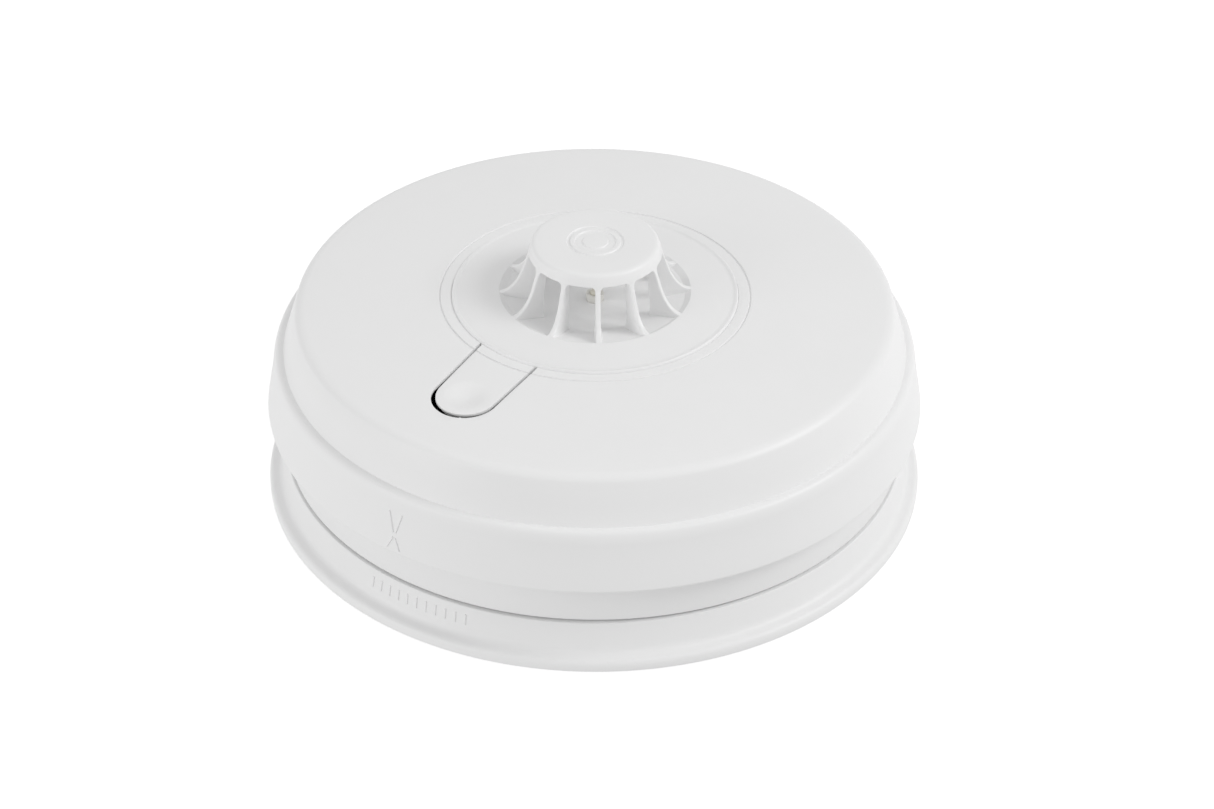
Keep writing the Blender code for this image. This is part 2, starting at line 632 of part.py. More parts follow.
def build_terminals(home, tools, looks):
    """The terminal block on the base, with its screws, spring contacts and cover."""
    bottom = BASE_PLATE + GAP
    middle = bottom + TERMINAL_HEIGHT / 2
    block = box("terminal_block", (TERMINAL_LENGTH, TERMINAL_DEPTH, TERMINAL_HEIGHT), (0, 0, middle), home,
                looks["block"])
    wells = []
    mouths = []
    for x, y in terminal_spots().values():
        wells.append(rod("well", SCREW_HEAD_RADIUS + GAP, bottom + TERMINAL_FLOOR, terminal_top() + 1,
                         (x, y + 3.5), tools))
        mouths.append(box("mouth", WIRE_MOUTH, (x, y + TERMINAL_DEPTH / 2, bottom + 2.6), tools))
    combine(block, join_meshes("terminal_wells", wells, tools))
    combine(block, join_meshes("terminal_mouths", mouths, tools))
    for name, (x, y) in terminal_spots().items():
        build_terminal_screw("terminal_screw_" + name, (x, y + 3.5), bottom + TERMINAL_FLOOR + GAP, home,
                             tools, looks["brass"])
        build_contact_spring("contact_spring_" + name, (x, y - 2.5), home, looks["contact"])
        build_contact_blade("contact_blade_" + name, (x, y - 2.5), home, tools, looks["contact"])
    return block


def build_terminal_screw(name, spot, bottom, home, tools, material):
    head_top = terminal_top() - 1.2
    profile = [(0, head_top), (SCREW_HEAD_RADIUS - 0.3, head_top), (SCREW_HEAD_RADIUS, head_top - 0.3),
               (SCREW_HEAD_RADIUS, head_top - 2.2), (SCREW_RADIUS, head_top - 2.2), (SCREW_RADIUS, bottom),
               (0, bottom)]
    screw = turned(name, profile, home, material, closed=False, steps=SMALL_STEPS)
    screw.location = Vector((spot[0], spot[1], 0)) * MM
    slot = as_tool(box(name + "_slot", (0.8, SCREW_HEAD_RADIUS * 3, 1.6), (0, 0, 0), tools))
    slot.location = Vector((spot[0], spot[1], head_top)) * MM
    combine(screw, slot)
    return screw


def strip(name, path, width, thick, home, material):
    """A bent metal strip: a path of (y, z) points, thickened and as wide as given along x."""
    shape = bmesh.new()
    rows = []
    for y, z in path:
        rows.append([shape.verts.new((side * width / 2 * MM, y * MM, z * MM)) for side in (-1, 1)])
    for first, second in zip(rows, rows[1:]):
        shape.faces.new((first[0], first[1], second[1], second[0]))
    mesh = bpy.data.meshes.new(name)
    shape.to_mesh(mesh)
    shape.free()
    made = new_object(name, mesh, home, material)
    wall = made.modifiers.new("Thickness", "SOLIDIFY")
    wall.thickness = thick * MM
    wall.offset = 0.0
    return made


def contact_height():
    """Where a blade's pad meets the top of its contact spring."""
    return terminal_top() + CONTACT_RISE


def build_contact_spring(name, spot, home, material):
    """A sprung strip standing on the terminal block, its bow up against the blade."""
    low = terminal_top() + GAP + 0.2
    high = contact_height() - GAP - 0.2
    path = [(-3.5, low), (1.5, low), (2.4, low + 0.6), (1.2, high - 0.5), (0.0, high), (-1.2, high - 0.5),
            (-2.2, high - 1.4)]
    spring = strip(name, path, 4.0, 0.4, home, material)
    spring.location = Vector((spot[0], spot[1], 0)) * MM
    return spring


def build_contact_blade(name, spot, home, tools, material):
    """An angle of metal under the board: its pad lies over the contact spring."""
    low = contact_height() + 0.3
    blade = box(name, (CONTACT_WIDTH, 6.0, 0.6), (spot[0], spot[1], low), home, material)
    stem_middle = (spot[0], spot[1] - 2.7, (BOARD_HEIGHT - GAP + low) / 2)
    stem = box(name + "_stem", (CONTACT_WIDTH, 0.6, BOARD_HEIGHT - GAP - low), stem_middle, tools)
    combine(blade, as_tool(stem), "UNION")
    return blade


def screw_between(name, spot, head_bottom, tip, home, material):
    """A headed screw on a vertical axis; the tip may lie above or below the head."""
    way = 1 if tip > head_bottom else -1
    head_top = head_bottom + way * SCREW_HEAD_HEIGHT
    profile = [(0, head_bottom), (SCREW_HEAD_RADIUS - 0.3, head_bottom),
               (SCREW_HEAD_RADIUS, head_bottom + way * 0.4), (SCREW_HEAD_RADIUS, head_top),
               (SCREW_RADIUS, head_top), (SCREW_RADIUS, tip - way * 0.6), (SCREW_RADIUS - 0.6, tip), (0, tip)]
    if way > 0:
        profile.reverse()
    screw = turned(name, profile, home, material, closed=False, steps=SMALL_STEPS)
    screw.location = Vector((spot.x, spot.y, 0)) * MM
    return screw


def build_fasteners(home, looks):
    for number, angle in enumerate(BOSS_ANGLES, 1):
        bottom = screw_seat() - GAP - SCREW_HEAD_HEIGHT
        screw_between("cover_screw_%d" % number, place(BOSS_ORBIT, angle), bottom, BOARD_HEIGHT,
                      home, looks["steel"])
    for number, angle in enumerate(POST_ANGLES, 1):
        top = PART_FOOT + SCREW_HEAD_HEIGHT
        screw_between("board_screw_%d" % number, place(POST_ORBIT, angle), top, CHASSIS_FLOOR + 3,
                      home, looks["steel"])


def build_board(home, tools, looks):
    """The circuit board, drilled for its screws."""
    board = rod("circuit_board", BOARD_RADIUS, BOARD_HEIGHT, BOARD_TOP, (0, 0), home, looks["board"],
                steps=ROUND_STEPS)
    holes = [rod("hole", SCREW_RADIUS + GAP, 0, BOARD_TOP + 5, place(POST_ORBIT, angle), tools)
             for angle in POST_ANGLES]
    combine(board, join_meshes("board_holes", holes, tools))
    return board


def build_thermistor(home, tools, looks):
    """The heat sensor: a bead on two leads, inside a tube that rises through the cage floor."""
    rim = FACE_HEIGHT
    outer = HOLDER_RADIUS
    bore = HOLDER_RADIUS - HOLDER_WALL
    shelf = CAGE_FOOT - FLOOR_DROP - CAGE_WALL - GAP
    profile = [(bore, rim), (outer - 0.2, rim), (outer, rim - 0.2), (outer, shelf), (outer + 1.4, shelf),
               (outer + 1.4, PART_FOOT), (bore, PART_FOOT)]
    turned("thermistor_holder", profile, home, looks["white"], steps=SMALL_STEPS)
    bead = bmesh.new()
    bmesh.ops.create_uvsphere(bead, u_segments=16, v_segments=10, radius=BEAD_SIZE * MM)
    mesh = bpy.data.meshes.new("thermistor")
    bead.to_mesh(mesh)
    bead.free()
    thermistor = new_object("thermistor", mesh, home, looks["bead"])
    thermistor.location.z = (rim - 0.2) * MM
    leads = [rod("lead", LEAD_RADIUS, PART_FOOT, rim - 0.2, (side * 0.55, 0), tools, steps=8)
             for side in (-1, 1)]
    combine(thermistor, join_meshes("thermistor_leads", leads, tools), "UNION")


def build_sounder(home, tools, looks):
    """The sounder: a housing with a ledge, the piezo disc on it and a ported cap above."""
    wall = SOUNDER_RADIUS - SOUNDER_WALL
    ledge = PART_FOOT + SOUNDER_HEIGHT - 2.0
    housing = [(wall, PART_FOOT + SOUNDER_HEIGHT), (SOUNDER_RADIUS, PART_FOOT + SOUNDER_HEIGHT),
               (SOUNDER_RADIUS, PART_FOOT), (wall - 2.5, PART_FOOT), (wall - 2.5, ledge), (wall, ledge)]
    disc_bottom = ledge + GAP
    cap_bottom = PART_FOOT + SOUNDER_HEIGHT + GAP
    cap_top = cap_bottom + SOUNDER_CAP_HEIGHT
    cap = [(SOUNDER_PORT, cap_top), (SOUNDER_RADIUS - 0.8, cap_top), (SOUNDER_RADIUS, cap_top - 0.8),
           (SOUNDER_RADIUS, cap_bottom), (wall, cap_bottom), (wall, cap_top - SOUNDER_WALL),
           (SOUNDER_PORT, cap_top - SOUNDER_WALL)]
    made = [turned("sounder_housing", housing, home, looks["dark"], steps=40),
            turned("sounder_cap", cap, home, looks["dark"], steps=40),
            rod("piezo_plate", PIEZO_RADIUS, disc_bottom, disc_bottom + PIEZO_THICK, (0, 0), home,
                looks["brass"], steps=40),
            rod("piezo_ceramic", PIEZO_RADIUS * 0.68, disc_bottom + PIEZO_THICK + GAP,
                disc_bottom + PIEZO_THICK + GAP + 0.3, (0, 0), home, looks["ceramic"], steps=32)]
    for piece in made:
        piece.location.x = SOUNDER_X * MM
        piece.location.y = SOUNDER_Y * MM


def build_power_parts(home, looks):
    """The backup cell with its tabs, and the larger parts of the mains supply."""
    middle = PART_FOOT + GAP + CELL_RADIUS
    cell = rod("backup_cell", CELL_RADIUS, -CELL_LENGTH / 2, CELL_LENGTH / 2, (0, 0), home, looks["cell"],
               steps=28)
    cell.rotation_euler.x = math.radians(90)
    cell.location = Vector((CELL_X, CELL_Y, middle)) * MM
    for name, side in (("cell_tab_positive", -1), ("cell_tab_negative", 1)):
        y = CELL_Y + side * (CELL_LENGTH / 2 + GAP + TAB_THICK / 2)
        box(name, (TAB_WIDTH, TAB_THICK, CELL_RADIUS + TAB_WIDTH / 2), (CELL_X, y, PART_FOOT
            + (CELL_RADIUS + TAB_WIDTH / 2) / 2), home, looks["contact"])
    box("mains_capacitor", FILM_CAPACITOR, (*FILM_CAPACITOR_SPOT, PART_FOOT + FILM_CAPACITOR[2] / 2), home,
        looks["yellow"])
    rod("smoothing_capacitor", CAN_RADIUS, PART_FOOT, PART_FOOT + CAN_HEIGHT, CAN_SPOT, home, looks["dark"],
        steps=24)
    half = VARISTOR_THICK / 2
    varistor = rod("varistor", VARISTOR_RADIUS, -half, half, (0, 0), home, looks["blue"], steps=24)
    varistor.rotation_euler.y = math.radians(90)
    varistor.location = Vector((*VARISTOR_SPOT, PART_FOOT + VARISTOR_RADIUS)) * MM
    box("microcontroller", CHIP_SIZE, (*CHIP_SPOT, PART_FOOT + CHIP_SIZE[2] / 2), home, looks["dark"],
        turn=45.0)


def build_switch(home, tools, looks):
    """The test switch under the button, with its plunger, and the two indicator lamps."""
    spot = (BUTTON_X, -BUTTON_REACH)
    middle = (spot[0], spot[1], PART_FOOT + SWITCH_HEIGHT / 2)
    body = box("test_switch_body", (SWITCH_SIZE, SWITCH_SIZE, SWITCH_HEIGHT), middle, home, looks["dark"])
    well = rod("switch_well", PLUNGER_RADIUS + GAP, PART_FOOT + 0.9, PART_FOOT + SWITCH_HEIGHT + 1, spot,
               tools)
    combine(body, as_tool(well))
    rod("test_switch_plunger", PLUNGER_RADIUS, PART_FOOT + 1.8, PART_FOOT + PLUNGER_TOP, spot, home,
        looks["red"])
    for name, side, look in (("power_lamp", -1, "green"), ("alarm_lamp", 1, "red")):
        top = PART_FOOT + LED_HEIGHT
        profile = [(0.0, top)] + arc((0.0, top - LED_RADIUS), LED_RADIUS, 75, 0, 4)
        profile += [(LED_RADIUS, PART_FOOT + 1.0), (LED_RADIUS + 0.4, PART_FOOT + 1.0),
                    (LED_RADIUS + 0.4, PART_FOOT), (0.0, PART_FOOT)]
        lamp = turned(name, profile, home, looks[look], closed=False, steps=16)
        lamp.location = Vector((BUTTON_X + side * (BUTTON_HALF_WIDTH + 2.0), 3.0 - BUTTON_REACH, 0)) * MM


def build():
    for old in list(bpy.data.objects):
        bpy.data.objects.remove(old)
    home = collection("heat_alarm")
    tools = collection("shaping_tools")
    looks = {
        "white": plastic("white plastic", (0.86, 0.86, 0.85)),
        "block": plastic("terminal block plastic", (0.80, 0.80, 0.78)),
        "dark": plastic("black plastic", (0.03, 0.03, 0.035)),
        "board": plastic("board laminate", (0.05, 0.25, 0.12), 0.4),
        "brass": plastic("brass", (0.80, 0.62, 0.30), 0.3, 1.0),
        "contact": plastic("tinned contact metal", (0.75, 0.74, 0.70), 0.3, 1.0),
        "steel": plastic("zinc plated steel", (0.65, 0.66, 0.68), 0.35, 1.0),
        "bead": plastic("bead coating", (0.78, 0.76, 0.70), 0.3),
        "ceramic": plastic("piezo ceramic", (0.85, 0.84, 0.80), 0.5),
        "cell": plastic("cell sleeve", (0.10, 0.22, 0.45), 0.35),
        "yellow": plastic("capacitor case", (0.75, 0.55, 0.08), 0.4),
        "blue": plastic("varistor coating", (0.08, 0.20, 0.50), 0.4),
        "green": plastic("green lens", (0.20, 0.60, 0.25), 0.15),
        "red": plastic("red lens", (0.65, 0.08, 0.06), 0.15),
    }
    build_base(home, tools, looks["white"])
    build_terminals(home, tools, looks)
    build_chassis(home, tools, looks["white"])
    build_cover(home, tools, looks["white"])
    build_cage(home, tools, looks["white"])
    build_button(home, tools, looks["white"])
    build_board(home, tools, looks)
    build_thermistor(home, tools, looks)
    build_sounder(home, tools, looks)
    build_power_parts(home, looks)
    build_switch(home, tools, looks)
    build_fasteners(home, looks)


build()
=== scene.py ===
# %% [markdown]
# # A ceiling heat alarm, finished in Blender
#
# The engineering model already fixes every size, gap and joint. This lesson dresses it: each part that
# shows is modelled again with softer edges and more segments, and every part gets a finish of its own.
# The alarm lies as it would on a bench, back down: z = 0 is the ceiling side and the sensor cage points up.

# %% Load the engineering model
import math

import bpy
from mathutils import Matrix, Vector


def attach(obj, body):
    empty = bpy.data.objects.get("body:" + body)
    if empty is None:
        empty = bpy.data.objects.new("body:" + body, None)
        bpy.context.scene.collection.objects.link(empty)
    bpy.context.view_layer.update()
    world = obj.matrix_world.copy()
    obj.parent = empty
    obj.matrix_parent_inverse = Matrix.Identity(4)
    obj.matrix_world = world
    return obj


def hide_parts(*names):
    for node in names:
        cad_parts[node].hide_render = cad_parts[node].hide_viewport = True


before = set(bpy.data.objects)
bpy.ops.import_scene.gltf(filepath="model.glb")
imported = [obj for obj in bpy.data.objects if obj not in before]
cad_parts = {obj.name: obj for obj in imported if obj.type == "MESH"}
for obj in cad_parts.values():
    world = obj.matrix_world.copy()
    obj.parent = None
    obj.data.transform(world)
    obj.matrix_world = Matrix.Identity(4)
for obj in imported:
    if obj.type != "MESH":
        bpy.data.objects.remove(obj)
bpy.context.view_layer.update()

# %% [markdown]
# ## Sizes
#
# Blender works in metres, but a moulding is easier to think about in millimetres, so every size below is in
# millimetres and is multiplied by MM where a tool needs it. Angles round the alarm are measured in degrees
# from the test button's side.

# %% Units and places round the axis
MM = 0.001
ROUND = 192                  # segments round a large moulding
NEAR = 0.000001              # points closer than this are one point


def around(radius, angle, height=0.0):
    """A point in metres at a radius and an angle round the axis."""
    turn = math.radians(angle)
    return Vector((radius * math.sin(turn), -radius * math.cos(turn), height)) * MM


print("the button side is at", tuple(round(c, 4) for c in around(50, 0)))

# %% [markdown]
# ## How the round mouldings are made
#
# Nearly everything here is a turned shape: one half section swept once round the axis. By hand that is one
# vertex, extruded from point to point along the section, and then the Spin tool. Corners of a real moulding
# are never sharp, so the section is eased first: a point may carry a third number, the radius of its corner.

# %% Sections with eased corners
def eased(section, steps=4):
    """Replace each point that carries a corner radius by a short arc."""
    drawn = []
    for index, point in enumerate(section):
        here = Vector(point[:2])
        if len(point) < 3:
            drawn.append(here)
            continue
        before = (Vector(section[index - 1][:2]) - here).normalized()
        after = (Vector(section[(index + 1) % len(section)][:2]) - here).normalized()
        half = before.angle(after) / 2
        centre = here + (before + after).normalized() * (point[2] / math.sin(half))
        first = here + before * (point[2] / math.tan(half)) - centre
        last = here + after * (point[2] / math.tan(half)) - centre
        sweep = first.angle_signed(last)
        for step in range(steps + 1):
            turned_by = Matrix.Rotation(-sweep * step / steps, 2)
            drawn.append(centre + turned_by @ first)
    return drawn


def bowed(start, pull, end, steps):
    """Points on a soft curve from start to end that leans towards pull."""
    points = []
    for step in range(steps + 1):
        t = step / steps
        near = Vector(start) * (1 - t) ** 2
        points.append(tuple(near + Vector(pull) * 2 * t * (1 - t) + Vector(end) * t ** 2))
    return points


print("a corner of 1 mm becomes", len(eased([(0, 0), (5, 0, 1.0), (5, 5)])), "points")

# %% Turn a section into a solid
def fresh_start():
    """Leave edit mode and drop the selection, so that the next tool acts on its own piece only."""
    if bpy.context.object and bpy.context.object.mode != "OBJECT":
        bpy.ops.object.mode_set(mode="OBJECT")
    bpy.ops.object.select_all(action="DESELECT")


def edit(piece, kind="VERT"):
    """Open a piece in edit mode with all of it selected."""
    fresh_start()
    piece.select_set(True)
    bpy.context.view_layer.objects.active = piece
    bpy.ops.object.mode_set(mode="EDIT")
    bpy.ops.mesh.select_mode(type=kind)
    bpy.ops.mesh.select_all(action="SELECT")


def settle(piece):
    """Put the piece's place and turn into its mesh."""
    fresh_start()
    piece.select_set(True)
    bpy.context.view_layer.objects.active = piece
    bpy.ops.object.transform_apply(location=True, rotation=True, scale=True)
    return piece


def turned(name, section, steps=ROUND):
    """Extrude one vertex along the section and spin the line round the z axis."""
    points = eased(section)
    fresh_start()
    bpy.ops.mesh.primitive_plane_add(size=MM, location=(points[0][0] * MM, 0, points[0][1] * MM))
    piece = bpy.context.object
    piece.name = name
    edit(piece)
    bpy.ops.mesh.merge(type="CENTER")
    for here, there in zip(points, points[1:]):
        step = ((there[0] - here[0]) * MM, 0, (there[1] - here[1]) * MM)
        bpy.ops.mesh.extrude_vertices_move(TRANSFORM_OT_translate={"value": step})
    bpy.ops.mesh.select_all(action="SELECT")
    bpy.ops.mesh.spin(steps=steps, angle=math.tau, center=(0, 0, 0), axis=(0, 0, 1))
    bpy.ops.mesh.select_all(action="SELECT")
    bpy.ops.mesh.remove_doubles(threshold=NEAR)
    bpy.ops.mesh.normals_make_consistent(inside=False)
    return settle(piece)


def ring(name, section, steps=ROUND):
    """A turned piece whose section closes on itself, away from the axis."""
    drawn = [tuple(point) for point in eased(section)]
    return turned(name, drawn + drawn[:1], steps)


test = ring("trial", [(10, 0), (12, 0), (12, 2, 0.5), (10, 2)], 24)
print("trial ring:", len(test.data.polygons), "faces")
bpy.data.objects.remove(test)

# %% [markdown]
# ## Cutting and joining
#
# Slots and screw holes are cut with the Boolean modifier, and bosses are joined with it, because both have to
# follow a curved wall exactly. The cutter is a plain shape that is thrown away once the modifier is applied.

# %% Boolean helpers
def apply_boolean(piece, tool, operation):
    """Cut, join or keep the common part of two solids, and drop the tool."""
    settle(piece)
    change = piece.modifiers.new(operation.title(), "BOOLEAN")
    change.object = tool
    change.operation = operation
    change.solver = "EXACT"
    bpy.ops.object.modifier_apply(modifier=change.name)
    bpy.data.objects.remove(tool)
    return piece


def joined(name, pieces):
    """One object from several."""
    fresh_start()
    for piece in pieces:
        piece.select_set(True)
    bpy.context.view_layer.objects.active = pieces[0]
    if len(pieces) > 1:
        bpy.ops.object.join()
    pieces[0].name = name
    return pieces[0]


def pillar(radius, bottom, top, x, y, steps=32):
    """An upright round solid between two heights, for a boss, a bore or a pin."""
    fresh_start()
    bpy.ops.mesh.primitive_cylinder_add(vertices=steps, radius=radius * MM, depth=(top - bottom) * MM,
                                        location=(x * MM, y * MM, (bottom + top) / 2 * MM))
    return settle(bpy.context.object)


def pillars(radius, bottom, top, orbit, angles, steps=32):
    """The same pillar at several angles round the axis, as one object."""
    spots = [around(orbit, angle) / MM for angle in angles]
    return joined("pillars", [pillar(radius, bottom, top, spot.x, spot.y, steps) for spot in spots])


def soften(piece, chosen, width, segments=3, clamp=True):
    """Bevel the edges that a rule picks by the two ends of each edge."""
    edit(piece, "EDGE")
    bpy.ops.mesh.select_all(action="DESELECT")
    bpy.ops.object.mode_set(mode="OBJECT")
    for edge in piece.data.edges:
        first, second = (piece.data.vertices[v].co / MM for v in edge.vertices)
        edge.select = chosen(first, second)
    bpy.ops.object.mode_set(mode="EDIT")
    bpy.ops.mesh.bevel(offset=width * MM, segments=segments, affect="EDGES", clamp_overlap=clamp)
    bpy.ops.object.mode_set(mode="OBJECT")


def finish_surface(piece, angle=30.0):
    """Smooth shading that stops at the real edges."""
    fresh_start()
    piece.select_set(True)
    bpy.context.view_layer.objects.active = piece
    bpy.ops.object.shade_smooth_by_angle(angle=math.radians(angle))
    print(piece.name, "has", len(piece.data.polygons), "faces")
    return piece


trial = apply_boolean(pillar(5, 0, 5, 0, 0), pillar(2, -1, 6, 0, 0), "DIFFERENCE")
print("trial bush:", len(trial.data.polygons), "faces")
bpy.data.objects.remove(trial)

# %% [markdown]
# ## The cover
#
# The big white dish that people see. Its face is very slightly domed, a fine groove runs round the centre,
# the shoulder is soft, and a thin crease with a round bead below it breaks the side in two. The skirt leans
# out a little to the lip so that the moulding leaves its tool. A turned section gives all of it in one piece.

# %% Section of the cover
RIM = 30.26                  # opening for the centre insert
FACE = 45.0                  # height of the face at the groove
GROOVE = 32.7
DOME = 830.0                 # radius of the domed face


def face_height(radius):
    return FACE + (GROOVE ** 2 - radius ** 2) / (2 * DOME)


def face_top(outer, steps):
    """The top of the face from the rim outward, with its groove."""
    points = [(RIM, FACE - 0.5), (RIM, FACE, 0.04), (GROOVE - 0.24, FACE, 0.08), (GROOVE - 0.1, FACE - 0.3),
              (GROOVE + 0.1, FACE - 0.3), (GROOVE + 0.24, FACE, 0.08)]
    start = GROOVE + 0.9
    for step in range(steps + 1):
        radius = start + (outer - start) * step / steps
        points.append((radius, face_height(radius)))
    return points


SHOULDER = (63.3, 42.0)
CREASE = (66.0, 33.1)
BEAD_END = (68.3, 29.7)
cover_out = face_top(60.9, 9)
cover_out += bowed((60.9, face_height(60.9)), (62.6, face_height(63.3)), SHOULDER, 10)[1:]
cover_out += [(64.6, 37.7), (CREASE[0], CREASE[1], 0.12), (66.6, 33.1, 0.1)]
cover_out += bowed((66.9, 33.05), (68.15, 32.8), BEAD_END, 12)
cover_out += [(69.1, 25.0), (69.9, 20.3, 0.2), (69.8, 19.8, 0.15)]
cover_in = [(68.1, 19.8, 0.2), (66.5, 29.7), (64.2, 32.2), (61.3, 42.0, 1.0)]
for radius in (58.5, 50.0, 42.0, 34.0):
    cover_in.append((radius, face_height(radius) - 2.0))
cover_in += [(32.3, 43.0), (32.3, 40.7), (27.3, 40.7, 0.2), (27.3, 42.7, 0.2), (RIM, 42.7)]
print("section of the cover:", len(cover_out) + len(cover_in), "points")

# %% Turn the cover and add its screw bosses
BOSS_ORBIT = 55.9
BOSS_ANGLES = (60, 180, 300)
cover = ring("cover_moulding", cover_out + cover_in)
apply_boolean(cover, pillars(3.0, 14.3, 43.0, BOSS_ORBIT, BOSS_ANGLES), "UNION")
apply_boolean(cover, pillars(1.6, 13.0, 25.2, BOSS_ORBIT, BOSS_ANGLES), "DIFFERENCE")
print("cover with bosses:", len(cover.data.polygons), "faces")

# %% [markdown]
# ## The slot round the test button
#
# The button is a tongue of the face with a round end. Its outline starts as a disc; the disc is cut straight
# across, the cut edge is pulled to the root and widened there, and the flat shape is given height. The same
# helper makes the wider shape that cuts the slot and the narrower one that keeps the tongue. Below a thin lip
# the slot opens out, so that it shows as a dark line.

# %% Tongue-shaped blank
BUTTON_X = -2.8
BUTTON_Y = -45.0             # centre of the round end
HALF_WIDTH = 6.8             # at the root
TAPER = 0.5                  # the round end is this much narrower on each side


def tongue_blank(half_width, end, root, bottom, top):
    """A solid with the tongue's outline, from the middle of its round end to the root line."""
    fresh_start()
    end_radius = half_width - TAPER
    bpy.ops.mesh.primitive_circle_add(vertices=96, radius=end_radius * MM, fill_type="NGON",
                                      location=(BUTTON_X * MM, end * MM, bottom * MM))
    blank = bpy.context.object
    edit(blank)
    bpy.ops.mesh.bisect(plane_co=(0, (end + 0.001) * MM, 0), plane_no=(0, 1, 0), clear_outer=True,
                        use_fill=False)
    bpy.ops.object.mode_set(mode="OBJECT")
    for vertex in blank.data.vertices:
        vertex.select = vertex.co.y > -0.01 * MM
    for edge in blank.data.edges:
        edge.select = all(blank.data.vertices[v].select for v in edge.vertices)
    for face in blank.data.polygons:
        face.select = False
    bpy.ops.object.mode_set(mode="EDIT")
    bpy.ops.mesh.select_mode(type="EDGE")
    bpy.ops.mesh.extrude_region_move(TRANSFORM_OT_translate={"value": (0, (root - end) * MM, 0)})
    bpy.ops.transform.resize(value=(half_width / end_radius, 1, 1),
                             center_override=(BUTTON_X * MM, root * MM, bottom * MM))
    bpy.ops.mesh.select_all(action="SELECT")
    bpy.ops.mesh.extrude_region_move(TRANSFORM_OT_translate={"value": (0, 0, (top - bottom) * MM)})
    bpy.ops.mesh.select_all(action="SELECT")
    bpy.ops.mesh.normals_make_consistent(inside=False)
    return settle(blank)


def beside_tongue(half_width, end, root):
    """A rule that picks the face's own edge along the tongue's outline."""
    def picks(*ends):
        for point in ends:
            out = math.hypot(point.x - BUTTON_X, min(0.0, point.y - end))
            along = max(0.0, min(1.0, (root - point.y) / (root - end)))
            radius = math.hypot(point.x, point.y)
            if abs(out - half_width + TAPER * along) > 0.02:
                return False
            if radius < RIM + 0.2 or point.z < face_height(radius) - 0.1:
                return False
        return True
    return picks


SIDE_GAP = 0.72
SLOT_END = BUTTON_Y - 0.35   # the gap is a little wider round the end than along the sides
SLOT_ROOT = -27.0
RELIEF = 1.2                 # how far the slot opens out below its lip
RELIEF_ROOT = -33.2
SLOT_FLOOR = 39.0            # the cutters reach from here up past the face
EDGE_SOFTNESS = 0.14         # bevel of the slot's and the button's top edges
ledge = ring("ledge", [(RIM - 4.0, 38.0), (32.6, 38.0), (32.6, 42.69), (RIM - 4.0, 42.69)])
slot_cutter = tongue_blank(HALF_WIDTH + SIDE_GAP, SLOT_END, SLOT_ROOT, SLOT_FLOOR, 48.0)
apply_boolean(slot_cutter, ledge, "DIFFERENCE")
apply_boolean(cover, slot_cutter, "DIFFERENCE")
LIP_BOTTOM = 43.6            # underside of the slot's lip
relief = tongue_blank(HALF_WIDTH + SIDE_GAP + RELIEF, SLOT_END, RELIEF_ROOT, SLOT_FLOOR, LIP_BOTTOM)
apply_boolean(cover, relief, "DIFFERENCE")
faces_before = len(cover.data.polygons)
soften(cover, beside_tongue(HALF_WIDTH + SIDE_GAP, SLOT_END, SLOT_ROOT), EDGE_SOFTNESS, 2, clamp=False)
print("faces before and after the slot's bevel:", faces_before, len(cover.data.polygons))
finish_surface(cover)

# %% [markdown]
# ## Marks on the skirt
#
# Two small arrowheads are raised on the skirt to show which way the head turns. Each stroke is a bar laid on
# the sloping wall, with its edges bevelled, and then it is joined to the cover so that it is one moulding.

# %% Raised strokes on a sloping wall
def stroke(start, end, angle, wall, width, rise):
    """A bevelled bar on a wall. start and end are (along, height), and wall is its two section points."""
    (low_radius, low), (high_radius, high) = wall
    slope = (high_radius - low_radius) / (high - low)
    middle = (Vector(start) + Vector(end)) / 2
    radius = low_radius + slope * (middle.y - low)
    turn = angle + math.degrees(middle.x / radius)
    outward = around(1, turn).normalized()
    sideways = Vector((-outward.y, outward.x, 0))
    up = (Vector((0, 0, 1)) + outward * slope).normalized()
    normal = sideways.cross(up)
    run = Vector(end) - Vector(start)
    along = (sideways * run.x + up * run.y).normalized()
    fresh_start()
    bpy.ops.mesh.primitive_cube_add(size=1)
    bar = bpy.context.object
    bar.scale = ((run.length + width) * MM, width * MM, 3 * rise * MM)
    bpy.ops.object.transform_apply(scale=True)
    edit(bar)
    bpy.ops.mesh.bevel(offset=rise * 0.6 * MM, segments=2, affect="EDGES")
    bpy.ops.object.mode_set(mode="OBJECT")
    frame_of_bar = Matrix((along, normal.cross(along), normal)).transposed().to_4x4()
    spot = outward * radius * MM + Vector((0, 0, middle.y * MM)) - normal * 0.5 * rise * MM
    bar.matrix_world = Matrix.Translation(spot) @ frame_of_bar
    return settle(bar)


SKIRT_WALL = ((69.9, 20.3), (68.3, 29.7))
MARK_ANGLE = -4.0
MARK_WIDTH = 0.45
MARK_RISE = 0.24
strokes = [
    stroke((-1.5, 28.7), (-0.35, 24.6), MARK_ANGLE, SKIRT_WALL, MARK_WIDTH, MARK_RISE),
    stroke((1.5, 28.7), (0.35, 24.6), MARK_ANGLE, SKIRT_WALL, MARK_WIDTH, MARK_RISE),
    stroke((-1.5, 20.9), (-0.35, 23.2), MARK_ANGLE, SKIRT_WALL, MARK_WIDTH, MARK_RISE),
    stroke((1.5, 20.9), (0.35, 23.2), MARK_ANGLE, SKIRT_WALL, MARK_WIDTH, MARK_RISE),
]
apply_boolean(cover, joined("strokes", strokes), "UNION")
finish_surface(cover)

# %% [markdown]
# ## The centre insert and the sensor cage
#
# Hot air has to reach the sensor freely, and fingers must not. So the insert carries twelve thin fins that
# flare out at the foot, under a flat cap. The disc and the cap are turned. One fin is drawn from its foot up,
# by extruding a small rectangle and giving it a new length and width at each height, and then it is copied.

